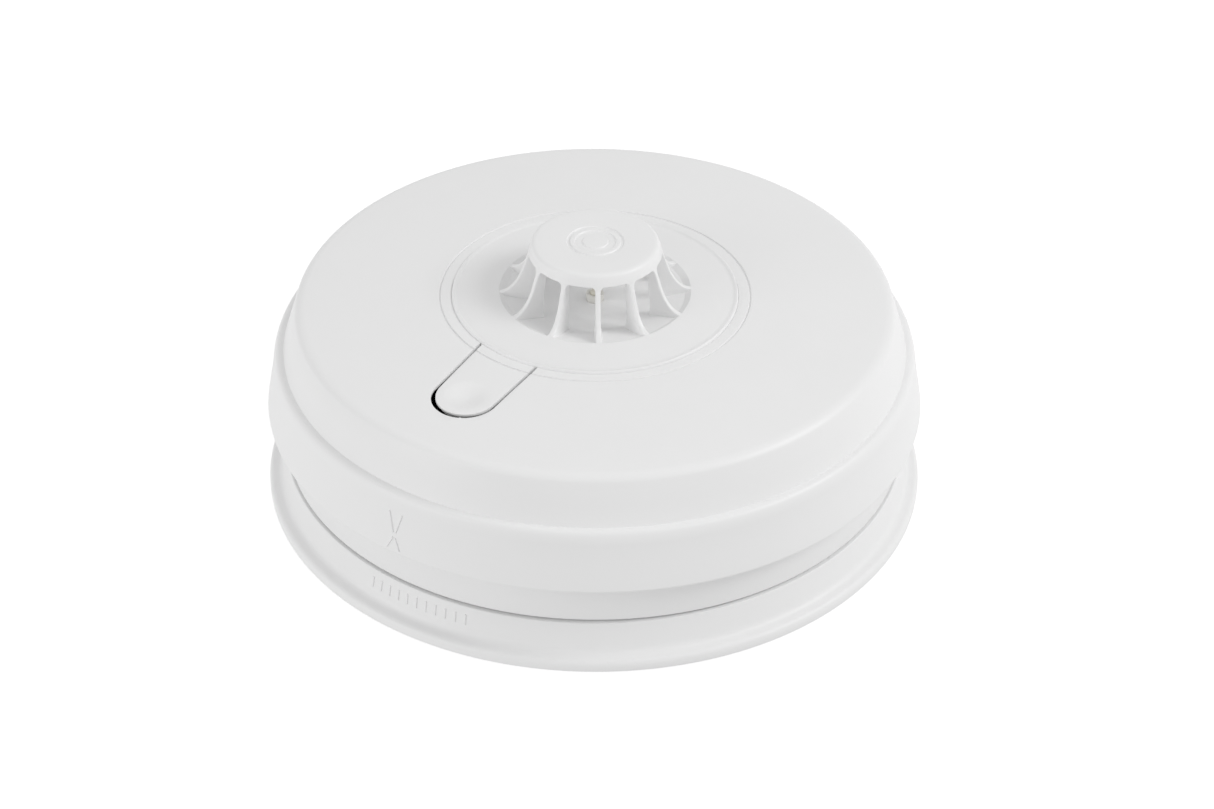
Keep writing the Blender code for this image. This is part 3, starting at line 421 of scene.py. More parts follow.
# %% Disc and cap
disc_section = [(1.93, 43.4), (11.6, 43.5), (14.9, 44.3, 0.8), (18.9, 45.0, 0.15), (20.2, 45.8, 0.12),
                (20.9, 45.76), (22.0, 45.70), (24.0, 45.59), (26.5, 45.44), (28.7, 45.3), (29.1, 45.29),
                (29.4, 45.37), (29.7, 45.5), (29.95, 45.48), (30.14, 45.28), (30.23, 44.9), (30.23, 43.0),
                (20.2, 43.0), (15.0, 41.8), (1.93, 41.8)]
disc = ring("sensor_cage_moulding", disc_section)
cap_section = [(0.0, 57.8), (2.6, 57.8, 0.08), (2.8, 57.56, 0.08), (4.2, 57.56, 0.08), (4.4, 57.8, 0.08),
               (5.2, 57.8, 0.08), (5.4, 57.56, 0.08), (5.9, 57.56, 0.08), (6.1, 57.8, 0.08), (10.5, 57.8)]
cap_section += bowed((12.1, 57.8), (13.3, 57.8), (13.52, 56.75), 8)
cap_section += [(14.06, 55.15, 0.2), (12.8, 55.15, 0.3), (12.1, 56.3, 0.6), (0.0, 56.4)]
cap = turned("cage_cap", cap_section, 144)
print("cap:", len(cap.data.polygons), "faces")

# %% One fin, then twelve
FIN_COUNT = 12
FIN_START = 3.7
FIN_HALF = 0.52


def fin_stations():
    """Height, inner radius, outer radius and half thickness, from the foot up."""
    flare = bowed((20.42, 45.72), (16.8, 46.1), (15.05, 52.2), 14)
    stations = [(43.1, 13.2, 19.9, FIN_HALF + 0.5), (44.3, 13.2, 19.9, FIN_HALF + 0.36),
                (45.0, 13.2, 19.9, FIN_HALF + 0.2), (45.6, 13.2, 20.35, FIN_HALF + 0.11)]
    for outer, height in flare:
        inner = 13.2 + (12.3 - 13.2) * (height - 46.0) / 9.0
        toe = 0.1 * max(0.0, 1 - (height - 45.72) / 1.6) ** 2
        stations.append((height, inner, outer, FIN_HALF + toe))
    arch = ((53.8, 0.0), (54.3, 0.06), (54.65, 0.16), (54.9, 0.32), (55.07, 0.52), (55.17, 0.75))
    for height, grow in arch:
        outer = 15.05 + (14.02 - 15.05) * (height - 52.2) / 2.97
        stations.append((height, 12.35, outer, FIN_HALF + grow))
    stations.append((55.5, 12.5, 13.85, FIN_HALF + 0.75))
    return stations


stations = fin_stations()
height, inner, outer, half = stations[0]
fresh_start()
bpy.ops.mesh.primitive_plane_add(size=1, location=((inner + outer) / 2 * MM, 0, height * MM))
fin = bpy.context.object
fin.scale = ((outer - inner) * MM, 2 * half * MM, 1)
edit(settle(fin))
for before, after in zip(stations, stations[1:]):
    middle = (after[1] + after[2]) / 2
    slide = middle - (before[1] + before[2]) / 2
    rise = after[0] - before[0]
    bpy.ops.mesh.extrude_region_move(TRANSFORM_OT_translate={"value": (slide * MM, 0, rise * MM)})
    longer = (after[2] - after[1]) / (before[2] - before[1])
    bpy.ops.transform.resize(value=(longer, after[3] / before[3], 1),
                             center_override=(middle * MM, 0, after[0] * MM))
bpy.ops.mesh.select_all(action="SELECT")
bpy.ops.mesh.normals_make_consistent(inside=False)
bpy.ops.object.mode_set(mode="OBJECT")
print("fin:", len(fin.data.polygons), "faces")

# %% Round the fin's long edges
def is_outer_fin_edge(first, second):
    return first.y * second.y > 0 and abs(first.z - second.z) > 0.003 and min(first.x, second.x) > 13.6


soften(fin, is_outer_fin_edge, 0.3)
fins = []
for index in range(FIN_COUNT):
    copy = fin.copy()
    copy.data = fin.data.copy()
    bpy.context.scene.collection.objects.link(copy)
    copy.rotation_euler.z = math.radians(FIN_START + index * 360 / FIN_COUNT - 90)
    fins.append(settle(copy))
bpy.data.objects.remove(fin)
cage = apply_boolean(disc, cap, "UNION")
apply_boolean(cage, joined("fins", fins), "UNION")
finish_surface(cage, 35)

# %% [markdown]
# ## The test button
#
# It is a tongue of the same face, so it starts as a turned plate with the face's own curve. The blank keeps
# the tongue out of it, its underside is cut narrower, a shallow bowl is cut where the fingertip goes, and a
# stem below reaches for the switch. The bowl flattens out at its edge and leans with the domed face.

# %% Tongue, bowl and stem
BUTTON_THICK = 1.8
plate = face_top(55.0, 8)
plate += [(radius, face_height(radius) - BUTTON_THICK) for radius in (55.0, 42.0)]
plate += [(RIM, FACE - BUTTON_THICK)]
button = ring("test_button_tongue", plate)
BUTTON_ROOT = -27.3
blank = tongue_blank(HALF_WIDTH, BUTTON_Y, BUTTON_ROOT, 40.0, 47.0)
apply_boolean(button, blank, "INTERSECT")
soften(button, beside_tongue(HALF_WIDTH, BUTTON_Y, BUTTON_ROOT), EDGE_SOFTNESS, 2, clamp=False)
UNDERCUT = 0.8               # the tongue is this much narrower below its edge
collar = tongue_blank(HALF_WIDTH + 2.0, BUTTON_Y, RELIEF_ROOT, 40.0, LIP_BOTTOM)
core = tongue_blank(HALF_WIDTH - UNDERCUT, BUTTON_Y, -32.0, SLOT_FLOOR, 47.0)
apply_boolean(collar, core, "DIFFERENCE")
apply_boolean(button, collar, "DIFFERENCE")
STEM_RADIUS = 1.7
apply_boolean(button, pillar(STEM_RADIUS, 31.4, 43.2, BUTTON_X, BUTTON_Y), "UNION")
BOWL_RADIUS = 5.3
BOWL_DEPTH = 1.15
BOWL_REACH = 4.95            # the soft curve stops here and runs out through the face
BOWL_STEPS = 22
BOWL_LEAN = math.asin(-BUTTON_Y / DOME)   # the domed face slopes this much under the bowl
bowl_section = []
for step in range(BOWL_STEPS + 1):
    radius = BOWL_REACH * step / BOWL_STEPS
    bowl_section.append((radius, BOWL_DEPTH * (math.sin(math.pi * radius / (2 * BOWL_RADIUS)) ** 2 - 1)))
bowl_section += [(5.6, 0.08), (6.2, 0.5), (0.0, 3.0)]
bowl = turned("bowl", bowl_section, 96)
bowl.rotation_euler.x = BOWL_LEAN
bowl.location = (BUTTON_X * MM, BUTTON_Y * MM, face_height(math.hypot(BUTTON_X, BUTTON_Y)) * MM)
apply_boolean(button, settle(bowl), "DIFFERENCE")
finish_surface(button)

# %% [markdown]
# ## Base and chassis
#
# The base is screwed to the ceiling. Its wall flares into a rounded flange, and inside it three hooks catch
# the feet of the chassis when the head is turned. Hooks and feet are short turned arcs: a section is filled
# and spun through a few degrees only. The spin runs clockwise seen from above, so here an arc lies before its
# start angle, whereas the engineering model's hooks and feet lie after it.

# %% Arcs of a turned shape
def turned_arc(section, start, end, steps=6):
    """A filled section spun round the axis by end minus start, backwards from the start angle."""
    fresh_start()
    bpy.ops.mesh.primitive_plane_add(size=MM, location=(section[0][0] * MM, 0, section[0][1] * MM))
    piece = bpy.context.object
    edit(piece)
    bpy.ops.mesh.merge(type="CENTER")
    for here, there in zip(section, section[1:]):
        step = ((there[0] - here[0]) * MM, 0, (there[1] - here[1]) * MM)
        bpy.ops.mesh.extrude_vertices_move(TRANSFORM_OT_translate={"value": step})
    bpy.ops.mesh.select_all(action="SELECT")
    bpy.ops.mesh.edge_face_add()
    bpy.ops.object.mode_set(mode="OBJECT")
    settle(piece)
    piece.rotation_euler.z = math.radians(start - 90)
    edit(settle(piece))
    bpy.ops.mesh.spin(steps=steps, angle=math.radians(end - start), center=(0, 0, 0), axis=(0, 0, 1))
    bpy.ops.mesh.select_all(action="SELECT")
    bpy.ops.mesh.normals_make_consistent(inside=False)
    return settle(piece)


HOOK_ANGLES = (0, 120, 240)
hook_section = [(64.1, 1.5), (64.1, 9.2), (58.9, 9.2), (58.9, 7.4), (62.3, 7.4), (62.3, 1.5)]
stop_section = [(63.9, 1.0), (63.9, 8.3), (59.1, 8.3), (59.1, 1.0)]
foot_section = [(56.6, 10.5), (56.6, 5.3), (62.0, 5.3), (62.0, 7.1), (58.6, 7.1), (58.6, 10.5)]
hooks = joined("hooks", [turned_arc(hook_section, hook - 11, hook + 6) for hook in HOOK_ANGLES])
stops = joined("stops", [turned_arc(stop_section, hook - 12.6, hook - 10.7, 2) for hook in HOOK_ANGLES])
feet = joined("feet", [turned_arc(foot_section, hook - 10, hook + 2, 4) for hook in HOOK_ANGLES])
print("hooks:", len(hooks.data.polygons), "feet:", len(feet.data.polygons))

# %% Mounting base
base_section = [(0.0, 2.0), (64.4, 2.0, 0.5), (64.4, 9.5, 0.2), (66.6, 9.5, 0.25), (67.25, 6.0), (67.6, 4.2)]
base_section += bowed((67.6, 4.2), (67.8, 3.2), (68.7, 2.85), 8)[1:]
base_section += bowed((69.3, 2.7), (70.5, 2.5), (70.5, 1.3), 8)
base_section += [(70.5, 0.0, 0.4), (0.0, 0.0)]
base = turned("mounting_base_moulding", base_section)
apply_boolean(base, hooks, "UNION")
apply_boolean(base, stops, "UNION")


def block(width, depth, height, x, y, z):
    """An upright cutter with square corners."""
    fresh_start()
    bpy.ops.mesh.primitive_cube_add(size=1, location=(x * MM, y * MM, z * MM))
    bpy.context.object.scale = (width * MM, depth * MM, height * MM)
    return settle(bpy.context.object)


SLOT_X = 42.5
for side in (-1, 1):
    apply_boolean(base, block(4.6, 9.4, 8, side * SLOT_X, 0, 1), "DIFFERENCE")
    for end in (-4.7, 4.7):
        apply_boolean(base, pillar(2.3, -3, 5, side * SLOT_X, end), "DIFFERENCE")
entry = block(26, 12, 8, 0, 24, 1)
soften(entry, lambda first, second: abs(first.z - second.z) > 1, 1.5, 5)
apply_boolean(base, entry, "DIFFERENCE")
BASE_WALL = ((67.6, 4.2), (66.6, 9.2))
TICK_START = -10.9
TICK_STEP = 1.95
TICK_COUNT = 11
TICK_WIDTH = 0.42
tick_angles = [TICK_START + TICK_STEP * index for index in range(TICK_COUNT)]
ticks = [stroke((0, 5.6), (0, 7.6), angle, BASE_WALL, TICK_WIDTH, MARK_RISE) for angle in tick_angles]
apply_boolean(base, joined("ticks", ticks), "UNION")
finish_surface(base)

# %% Chassis
chassis = ring("chassis_moulding", [(64.4, 26.0, 0.2), (66.2, 26.0, 0.2), (66.2, 18.0), (66.2, 10.0, 0.3),
                                    (45.0, 10.0), (24.0, 10.0, 0.2), (24.0, 12.0, 0.2), (45.0, 12.0),
                                    (64.4, 12.0, 0.6)])
apply_boolean(chassis, pillars(4.5, 11.5, 14.0, BOSS_ORBIT, BOSS_ANGLES), "UNION")
POST_ORBIT = 42.0
POST_ANGLES = (40, 160, 280)
apply_boolean(chassis, pillars(3.2, 11.5, 23.7, POST_ORBIT, POST_ANGLES), "UNION")
apply_boolean(chassis, feet, "UNION")
apply_boolean(chassis, pillars(1.6, 5.0, 26.0, BOSS_ORBIT, BOSS_ANGLES), "DIFFERENCE")
apply_boolean(chassis, pillars(3.0, 5.0, 12.3, BOSS_ORBIT, BOSS_ANGLES), "DIFFERENCE")
apply_boolean(chassis, pillars(1.6, 13.0, 25.0, POST_ORBIT, POST_ANGLES), "DIFFERENCE")
finish_surface(chassis)

# %% [markdown]
# ## The heat sensor
#
# A bead no bigger than a peppercorn on two wires, held in the mouth of a small tube. The bead is dipped, so
# it is a drop rather than a ball: the lower half of a sphere is drawn down onto the leads.

# %% Tube, bead and leads
tube_section = [(1.14, 44.85), (1.4, 45.0, 0.1), (1.9, 45.0, 0.15), (1.9, 41.5), (3.3, 41.5, 0.3),
                (3.3, 25.9), (1.35, 25.9), (1.35, 44.6)]
holder = ring("thermistor_tube", tube_section, 64)
finish_surface(holder)
BEAD_CENTRE = 44.8
fresh_start()
bpy.ops.mesh.primitive_uv_sphere_add(segments=48, ring_count=24, radius=1.1 * MM,
                                     location=(0, 0, BEAD_CENTRE * MM))
bead = settle(bpy.context.object)
edit(bead)
bpy.ops.mesh.select_all(action="DESELECT")
bpy.ops.object.mode_set(mode="OBJECT")
for vertex in bead.data.vertices:
    vertex.select = vertex.co.z < (BEAD_CENTRE - 0.05) * MM
bpy.ops.object.mode_set(mode="EDIT")
bpy.ops.transform.resize(value=(0.94, 0.94, 1.5), center_override=(0, 0, BEAD_CENTRE * MM))
bead = settle(bead)
leads = joined("leads", [pillar(0.25, 25.9, BEAD_CENTRE - 0.4, side * 0.55, 0, 16) for side in (-1, 1)])
apply_boolean(bead, leads, "UNION")
bead.name = "thermistor_bead"
finish_surface(bead)

# %% [markdown]
# ## Finishes
#
# Moulded plastic is never one flat colour. The tool is spark eroded, so the skin has a fine grain that breaks
# up the gloss, and the melt leaves faint cloudy differences in shade and shine. One node group makes that
# skin, and each plastic uses it with its own colour, grain and gloss. The group gives only a colour, a
# roughness and a height; the shader and its fixed values stay in the material.

# %% The skin that all plastics share
def new_group(name, inputs, outputs):
    """An empty node group with named sockets, and its two end nodes."""
    group = bpy.data.node_groups.new(name, "ShaderNodeTree")
    for label, kind, value in inputs:
        group.interface.new_socket(name=label, in_out="INPUT", socket_type=kind).default_value = value
    for label, kind in outputs:
        group.interface.new_socket(name=label, in_out="OUTPUT", socket_type=kind)
    return group, group.nodes.new("NodeGroupInput"), group.nodes.new("NodeGroupOutput")


def node(tree, kind, **settings):
    """A node with some of its settings and input values filled in."""
    made = tree.nodes.new(kind)
    for name, value in settings.items():
        if hasattr(made, name):
            setattr(made, name, value)
        else:
            made.inputs[name.replace("_", " ").title()].default_value = value
    return made


def calculate(tree, operation, first, second):
    """A Math node on two sockets or numbers."""
    made = tree.nodes.new("ShaderNodeMath")
    made.operation = operation
    for slot, value in zip(made.inputs, (first, second)):
        if isinstance(value, (int, float)):
            slot.default_value = value
        else:
            tree.links.new(value, slot)
    return made.outputs["Value"]


COLOUR, NUMBER = "NodeSocketColor", "NodeSocketFloat"
skin, skin_in, skin_out = new_group(
    "Moulded skin",
    [("Colour", COLOUR, (0.8, 0.8, 0.8, 1)), ("Grain Scale", NUMBER, 1600.0), ("Cloud Amount", NUMBER, 0.03),
     ("Shine", NUMBER, 0.42), ("Shine Change", NUMBER, 0.08)],
    [("Colour", COLOUR), ("Roughness", NUMBER), ("Height", NUMBER)])
place = node(skin, "ShaderNodeTexCoord")
grain = node(skin, "ShaderNodeTexNoise", detail=3.0, roughness=0.55)
pits = node(skin, "ShaderNodeTexVoronoi", feature="SMOOTH_F1", smoothness=0.6)
clouds = node(skin, "ShaderNodeTexNoise", scale=38.0, detail=4.0, roughness=0.5)
flow = node(skin, "ShaderNodeTexNoise", scale=160.0, detail=2.0, roughness=0.5)
for texture in (grain, pits, clouds, flow):
    skin.links.new(place.outputs["Object"], texture.inputs["Vector"])
skin.links.new(skin_in.outputs["Grain Scale"], grain.inputs["Scale"])
skin.links.new(calculate(skin, "MULTIPLY", skin_in.outputs["Grain Scale"], 0.8), pits.inputs["Scale"])
cloud = calculate(skin, "ADD", calculate(skin, "MULTIPLY", clouds.outputs["Fac"], 0.7),
                  calculate(skin, "MULTIPLY", flow.outputs["Fac"], 0.3))
centred = calculate(skin, "SUBTRACT", cloud, 0.5)
shade_of = calculate(skin, "ADD", calculate(skin, "MULTIPLY", centred, skin_in.outputs["Cloud Amount"]), 1.0)
tint = node(skin, "ShaderNodeVectorMath", operation="SCALE")
skin.links.new(skin_in.outputs["Colour"], tint.inputs[0])
skin.links.new(shade_of, tint.inputs["Scale"])
skin.links.new(tint.outputs["Vector"], skin_out.inputs["Colour"])
change = calculate(skin, "MULTIPLY", calculate(skin, "SUBTRACT", flow.outputs["Fac"], 0.5),
                   skin_in.outputs["Shine Change"])
skin.links.new(calculate(skin, "ADD", skin_in.outputs["Shine"], change), skin_out.inputs["Roughness"])
fine = calculate(skin, "MULTIPLY", grain.outputs["Fac"], 0.6)
coarse = calculate(skin, "MULTIPLY", pits.outputs["Distance"], 0.4)
skin.links.new(calculate(skin, "ADD", fine, coarse), skin_out.inputs["Height"])
print("skin group:", len(skin.nodes), "nodes")

# %% Plastics made with the skin
def new_material(name):
    """A material and its Principled shader."""
    made = bpy.data.materials.new(name)
    made.use_nodes = True
    return made, made.node_tree, made.node_tree.nodes["Principled BSDF"]


def bumped(tree, shader, height, strength, distance):
    """Turn a height into a small relief on the shader."""
    relief = tree.nodes.new("ShaderNodeBump")
    relief.inputs["Strength"].default_value = strength
    relief.inputs["Distance"].default_value = distance
    tree.links.new(height, relief.inputs["Height"])
    tree.links.new(relief.outputs["Normal"], shader.inputs["Normal"])


def moulded(name, colour, shine=0.42, grain_scale=1600.0, relief=0.02, clouds=0.03):
    """A plastic with the moulded skin; relief is the depth of its grain in millimetres."""
    made, tree, shader = new_material(name)
    look = tree.nodes.new("ShaderNodeGroup")
    look.node_tree = skin
    look.inputs["Colour"].default_value = (*colour, 1)
    look.inputs["Grain Scale"].default_value = grain_scale
    look.inputs["Cloud Amount"].default_value = clouds
    look.inputs["Shine"].default_value = shine
    tree.links.new(look.outputs["Colour"], shader.inputs["Base Color"])
    tree.links.new(look.outputs["Roughness"], shader.inputs["Roughness"])
    bumped(tree, shader, look.outputs["Height"], 0.5, relief * MM)
    shader.inputs["IOR"].default_value = 1.5
    return made


WHITE = (0.90, 0.90, 0.90)
cover_finish = moulded("Satin white cover plastic", WHITE)
cage_finish = moulded("Satin white cage plastic", WHITE, shine=0.40)
button_finish = moulded("Satin white button plastic", WHITE, shine=0.38)
base_finish = moulded("Satin white base plastic", WHITE, shine=0.45)
chassis_finish = moulded("Satin white chassis plastic", WHITE, shine=0.45)
holder_finish = moulded("Natural nylon", (0.82, 0.81, 0.77), shine=0.35)
terminal_finish = moulded("Terminal block plastic", (0.78, 0.78, 0.74), shine=0.45)
black_finish = moulded("Black housing plastic", (0.022, 0.022, 0.024), shine=0.48, relief=0.04, clouds=0.2)
chip_finish = moulded("Black chip resin", (0.03, 0.03, 0.032), shine=0.55, grain_scale=4000.0, clouds=0.15)
plunger_finish = moulded("Red plunger plastic", (0.60, 0.05, 0.04), shine=0.35)
capacitor_finish = moulded("Yellow capacitor case", (0.74, 0.48, 0.05), shine=0.4, clouds=0.08)
bead_finish = moulded("Dipped bead coating", (0.74, 0.71, 0.62), shine=0.25, grain_scale=900.0, clouds=0.15)
varistor_finish = moulded("Dipped varistor coating", (0.05, 0.14, 0.42), shine=0.3, grain_scale=700.0,
                          clouds=0.2)
ceramic_finish = moulded("Fired ceramic", (0.78, 0.76, 0.70), shine=0.6, grain_scale=2500.0, clouds=0.08)
sleeve_finish = moulded("Shrink sleeve", (0.05, 0.16, 0.40), shine=0.28, grain_scale=300.0, clouds=0.12)
print("plastics:", len(bpy.data.materials))

# %% [markdown]
# ## Metals, laminate and lenses
#
# The screws, springs and blades are bright metal with a brushed or plated grain, so their gloss changes along
# fine streaks. The board is green laminate with copper tracks under its lacquer, drawn by a brick pattern.

# %% Metal group and the metals
metal, metal_in, metal_out = new_group(
    "Worn metal", [("Colour", COLOUR, (0.7, 0.7, 0.7, 1)), ("Streak Scale", NUMBER, 900.0),
                   ("Stain Amount", NUMBER, 0.15), ("Shine", NUMBER, 0.3)],
    [("Colour", COLOUR), ("Roughness", NUMBER), ("Height", NUMBER)])
metal_place = node(metal, "ShaderNodeTexCoord")
stretch = node(metal, "ShaderNodeMapping")
stretch.inputs["Scale"].default_value = (1.0, 1.0, 0.08)
streaks = node(metal, "ShaderNodeTexNoise", detail=3.0)
stains = node(metal, "ShaderNodeTexNoise", scale=220.0, detail=4.0)
metal.links.new(metal_place.outputs["Object"], stretch.inputs["Vector"])
metal.links.new(stretch.outputs["Vector"], streaks.inputs["Vector"])
metal.links.new(metal_place.outputs["Object"], stains.inputs["Vector"])
metal.links.new(metal_in.outputs["Streak Scale"], streaks.inputs["Scale"])
stain = calculate(metal, "MULTIPLY", calculate(metal, "SUBTRACT", stains.outputs["Fac"], 0.5),
                  metal_in.outputs["Stain Amount"])
metal_tint = node(metal, "ShaderNodeVectorMath", operation="SCALE")
metal.links.new(metal_in.outputs["Colour"], metal_tint.inputs[0])
metal.links.new(calculate(metal, "SUBTRACT", 1.0, stain), metal_tint.inputs["Scale"])
metal.links.new(metal_tint.outputs["Vector"], metal_out.inputs["Colour"])
dulled = calculate(metal, "ADD", metal_in.outputs["Shine"], stain)
brushed = calculate(metal, "MULTIPLY", streaks.outputs["Fac"], 0.1)
metal.links.new(calculate(metal, "ADD", dulled, brushed), metal_out.inputs["Roughness"])
metal.links.new(streaks.outputs["Fac"], metal_out.inputs["Height"])


def metallic(name, colour, shine):
    """A metal with streaks and faint stains."""
    made, tree, shader = new_material(name)
    look = tree.nodes.new("ShaderNodeGroup")
    look.node_tree = metal
    look.inputs["Colour"].default_value = (*colour, 1)
    look.inputs["Shine"].default_value = shine
    tree.links.new(look.outputs["Colour"], shader.inputs["Base Color"])
    tree.links.new(look.outputs["Roughness"], shader.inputs["Roughness"])
    shader.inputs["Metallic"].default_value = 1.0
    bumped(tree, shader, look.outputs["Height"], 0.4, 0.01 * MM)
    return made


brass_finish = metallic("Brass", (0.78, 0.57, 0.25), 0.22)
contact_finish = metallic("Tinned spring metal", (0.72, 0.71, 0.67), 0.24)
zinc_finish = metallic("Zinc plated steel", (0.62, 0.64, 0.66), 0.28)
print("metals: brass, tin and zinc")

# %% Board laminate and lamp lenses
board_finish, board_tree, board_shader = new_material("Green board laminate")
board_place = node(board_tree, "ShaderNodeTexCoord")
tracks = node(board_tree, "ShaderNodeTexBrick", offset=0.37, squash=0.6, squash_frequency=3)
tracks.inputs["Scale"].default_value = 120.0
tracks.inputs["Mortar Size"].default_value = 0.035
tracks.inputs["Mortar Smooth"].default_value = 0.1
tracks.inputs["Color1"].default_value = (0.010, 0.095, 0.040, 1)
tracks.inputs["Color2"].default_value = (0.012, 0.110, 0.048, 1)
tracks.inputs["Mortar"].default_value = (0.050, 0.230, 0.085, 1)
weave = node(board_tree, "ShaderNodeTexNoise", scale=1500.0, detail=2.0)
board_tree.links.new(board_place.outputs["Object"], tracks.inputs["Vector"])
board_tree.links.new(board_place.outputs["Object"], weave.inputs["Vector"])
board_tree.links.new(tracks.outputs["Color"], board_shader.inputs["Base Color"])
bumped(board_tree, board_shader, tracks.outputs["Fac"], 0.6, 0.03 * MM)
woven = calculate(board_tree, "MULTIPLY", weave.outputs["Fac"], 0.2)
board_tree.links.new(calculate(board_tree, "ADD", woven, 0.2), board_shader.inputs["Roughness"])


def lens(name, colour):
    """A tinted clear lens with a soft cloud inside."""
    made, tree, shader = new_material(name)
    spot = node(tree, "ShaderNodeTexCoord")
    haze = node(tree, "ShaderNodeTexNoise", scale=900.0, detail=2.0)
    tree.links.new(spot.outputs["Object"], haze.inputs["Vector"])
    tone = node(tree, "ShaderNodeVectorMath", operation="SCALE")
    tone.inputs[0].default_value = colour
    tree.links.new(calculate(tree, "ADD", haze.outputs["Fac"], 0.5), tone.inputs["Scale"])
    tree.links.new(tone.outputs["Vector"], shader.inputs["Base Color"])
    shader.inputs["Roughness"].default_value = 0.12
    shader.inputs["Transmission Weight"].default_value = 0.6
    return made


green_finish = lens("Green lens", (0.10, 0.55, 0.16))
red_finish = lens("Red lens", (0.60, 0.04, 0.03))
print("materials:", [material.name for material in bpy.data.materials][-6:])

# %% [markdown]
# ## Dress and hang the parts
#
# Each new piece takes its finish, rides on the body that moves it, and stands for the plain solid it was
# drawn from. Parts that stay as engineering solids, all of them inside the housing, take a finish in place.

# %% New pieces
def dress(piece, finish, body, slot, *nodes):
    """Give a new piece its finish and hand it to a body."""
    piece.data.materials.clear()
    piece.data.materials.append(finish)
    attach(piece, body)
    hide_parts(*nodes)


dress(cover, cover_finish, "head", "cover_plastic", "cover")
dress(cage, cage_finish, "head", "cage_plastic", "sensor_cage")
dress(button, button_finish, "button", "button_plastic", "test_button")
dress(base, base_finish, "base", "base_plastic", "mounting_base")
dress(chassis, chassis_finish, "head", "chassis_plastic", "chassis")
dress(holder, holder_finish, "head", "holder_plastic", "thermistor_holder")
dress(bead, bead_finish, "head", "bead_coating", "thermistor")
print("new pieces:", [piece.name for piece in (cover, cage, button, base, chassis, holder, bead)])

# %% Parts that keep their solids
kept = {
    "terminal_block": terminal_finish, "circuit_board": board_finish, "sounder_housing": black_finish,
    "sounder_cap": black_finish, "piezo_plate": brass_finish, "piezo_ceramic": ceramic_finish,
    "backup_cell": sleeve_finish, "cell_tab_positive": contact_finish, "cell_tab_negative": contact_finish,
    "mains_capacitor": capacitor_finish, "smoothing_capacitor": chip_finish, "varistor": varistor_finish,
    "microcontroller": chip_finish, "test_switch_body": black_finish, "test_switch_plunger": plunger_finish,
    "power_lamp": green_finish, "alarm_lamp": red_finish,
}
for name in ("live", "neutral", "interconnect"):
    kept["terminal_screw_" + name] = brass_finish
    kept["contact_spring_" + name] = contact_finish
    kept["contact_blade_" + name] = contact_finish
for number in (1, 2, 3):
    kept["cover_screw_%d" % number] = zinc_finish
    kept["board_screw_%d" % number] = zinc_finish
for name, finish in kept.items():
    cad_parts[name].data.materials.clear()
    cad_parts[name].data.materials.append(finish)
print("solids with a finish:", len(kept))

# %% [markdown]
# ## Floor, light and camera
#
# A plain pale floor and soft light from all round show white plastic best. The strongest panel stands at the
# right and leaves a soft shade at the left of the cage, a low one at the left lights the round wall, and a
# faint one overhead lifts the face. The floor glows a little, so that no shadow spoils its even white. The
# camera is a long lens a little above the alarm, so that circles stay calm ellipses.

# %% Floor
fresh_start()
FLOOR_SIZE = 6.0
FLOOR_DROP = 0.0006          # keeps the base clear of the floor
bpy.ops.mesh.primitive_plane_add(size=FLOOR_SIZE, location=(0, 0, -FLOOR_DROP))
floor = bpy.context.object
floor.name = "studio_floor"
floor_finish, floor_tree, floor_shader = new_material("Pale studio floor")
floor_shader.inputs["Base Color"].default_value = (0.45, 0.45, 0.45, 1)
floor_shader.inputs["Emission Color"].default_value = (1.0, 1.0, 1.0, 1)
floor_shader.inputs["Emission Strength"].default_value = 0.72
floor_shader.inputs["Roughness"].default_value = 0.9
floor_shader.inputs["Specular IOR Level"].default_value = 0.0
clear = floor_tree.nodes.new("ShaderNodeBsdfTransparent")
side_of = floor_tree.nodes.new("ShaderNodeNewGeometry")
either = floor_tree.nodes.new("ShaderNodeMixShader")
floor_tree.links.new(side_of.outputs["Backfacing"], either.inputs["Fac"])
floor_tree.links.new(floor_shader.outputs["BSDF"], either.inputs[1])
floor_tree.links.new(clear.outputs["BSDF"], either.inputs[2])
floor_tree.links.new(either.outputs["Shader"], floor_tree.nodes["Material Output"].inputs["Surface"])
floor.data.materials.append(floor_finish)
floor.visible_diffuse = False
print("floor:", [round(side, 1) for side in floor.dimensions])

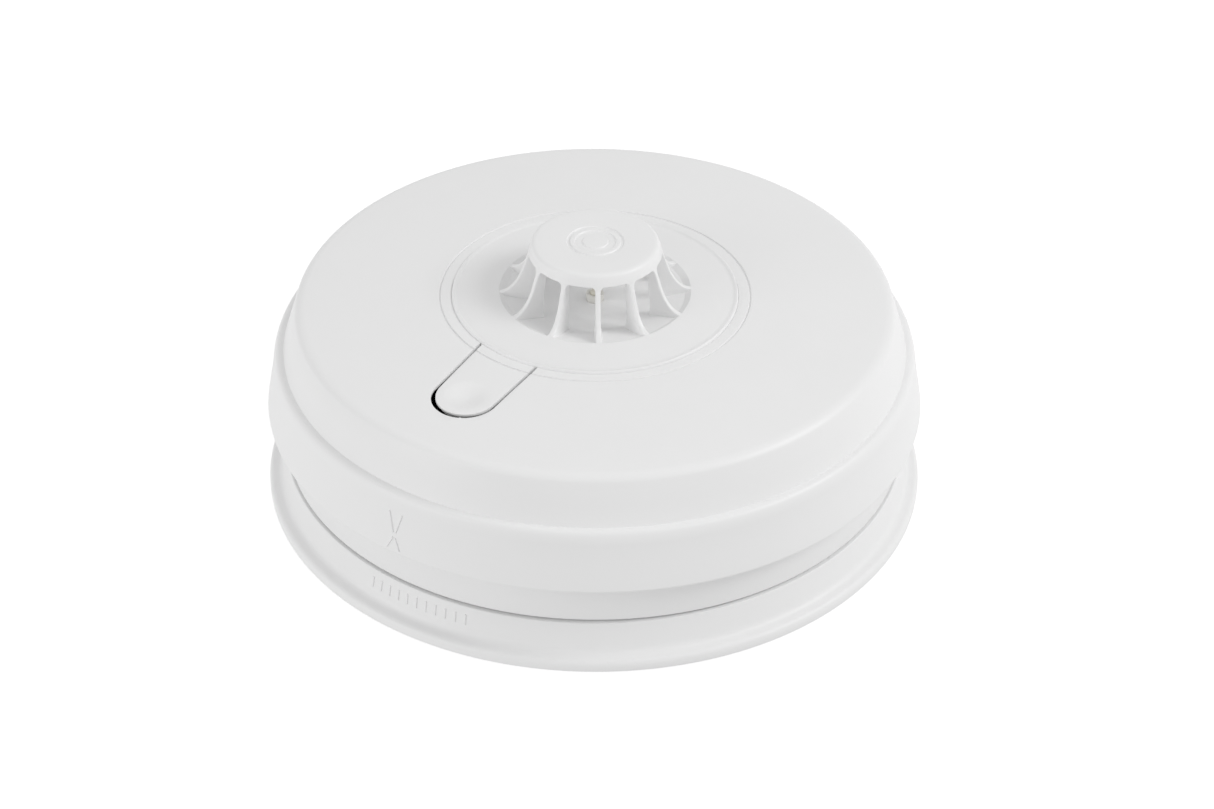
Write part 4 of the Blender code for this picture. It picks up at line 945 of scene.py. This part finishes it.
# %% Light
world = bpy.data.worlds.new("Soft studio")
bpy.context.scene.world = world
world.use_nodes = True
world.node_tree.nodes["Background"].inputs["Color"].default_value = (1.0, 1.0, 1.0, 1)
world.node_tree.nodes["Background"].inputs["Strength"].default_value = 0.61
bpy.context.scene.view_settings.view_transform = "Standard"


def panel(name, spot, size, power):
    """A square soft light that faces the alarm."""
    fresh_start()
    bpy.ops.object.light_add(type="AREA", location=spot)
    lamp = bpy.context.object
    lamp.name = name
    lamp.data.shape = "SQUARE"
    lamp.data.size = size
    lamp.data.energy = power
    lamp.rotation_mode = "QUATERNION"
    lamp.rotation_quaternion = (Vector((0, 0, 0.03)) - Vector(spot)).to_track_quat("-Z", "Y")
    return lamp


VIEW_TURN = 31.0             # the camera stands this far round from the test button


def from_camera_side(turn, rise, distance):
    """A place at an angle round from the camera and a height above the floor."""
    angle, lift = math.radians(VIEW_TURN + turn), math.radians(rise)
    flat = math.cos(lift) * distance
    return (math.sin(angle) * flat, -math.cos(angle) * flat, math.sin(lift) * distance)


panel("overhead_panel", from_camera_side(180, 78, 1.5), 1.2, 0.6)
panel("right_panel", from_camera_side(82, 40, 1.5), 0.6, 7.2)
panel("left_panel", from_camera_side(-60, 14, 1.5), 0.8, 4.8)

# %% Camera
DISTANCE = 0.6776
RISE = math.radians(33.32)
AIM_DOWN = math.radians(1.996)
AIM_HEIGHT = 0.045           # the camera is placed from this point on the axis
SIDE_STEP = 0.00269
ROLL = math.radians(0.45)
turn = math.radians(VIEW_TURN)
right = Vector((math.cos(turn), math.sin(turn), 0))
back = Vector((math.sin(turn) * math.cos(RISE), -math.cos(turn) * math.cos(RISE), math.sin(RISE)))
stand = back * DISTANCE + Vector((0, 0, AIM_HEIGHT)) + right * SIDE_STEP
look = -(Matrix.Rotation(-AIM_DOWN, 3, right) @ back)
upward = right.cross(look)
fresh_start()
bpy.ops.object.camera_add()
camera = bpy.context.object
camera.data.sensor_width = 36.0
camera.data.lens = 95.35
facing = Matrix((right, upward, -look)).transposed().to_4x4()
camera.matrix_world = Matrix.Translation(stand) @ facing @ Matrix.Rotation(ROLL, 4, "Z")
bpy.context.scene.camera = camera
print("camera at", [round(c, 3) for c in stand])
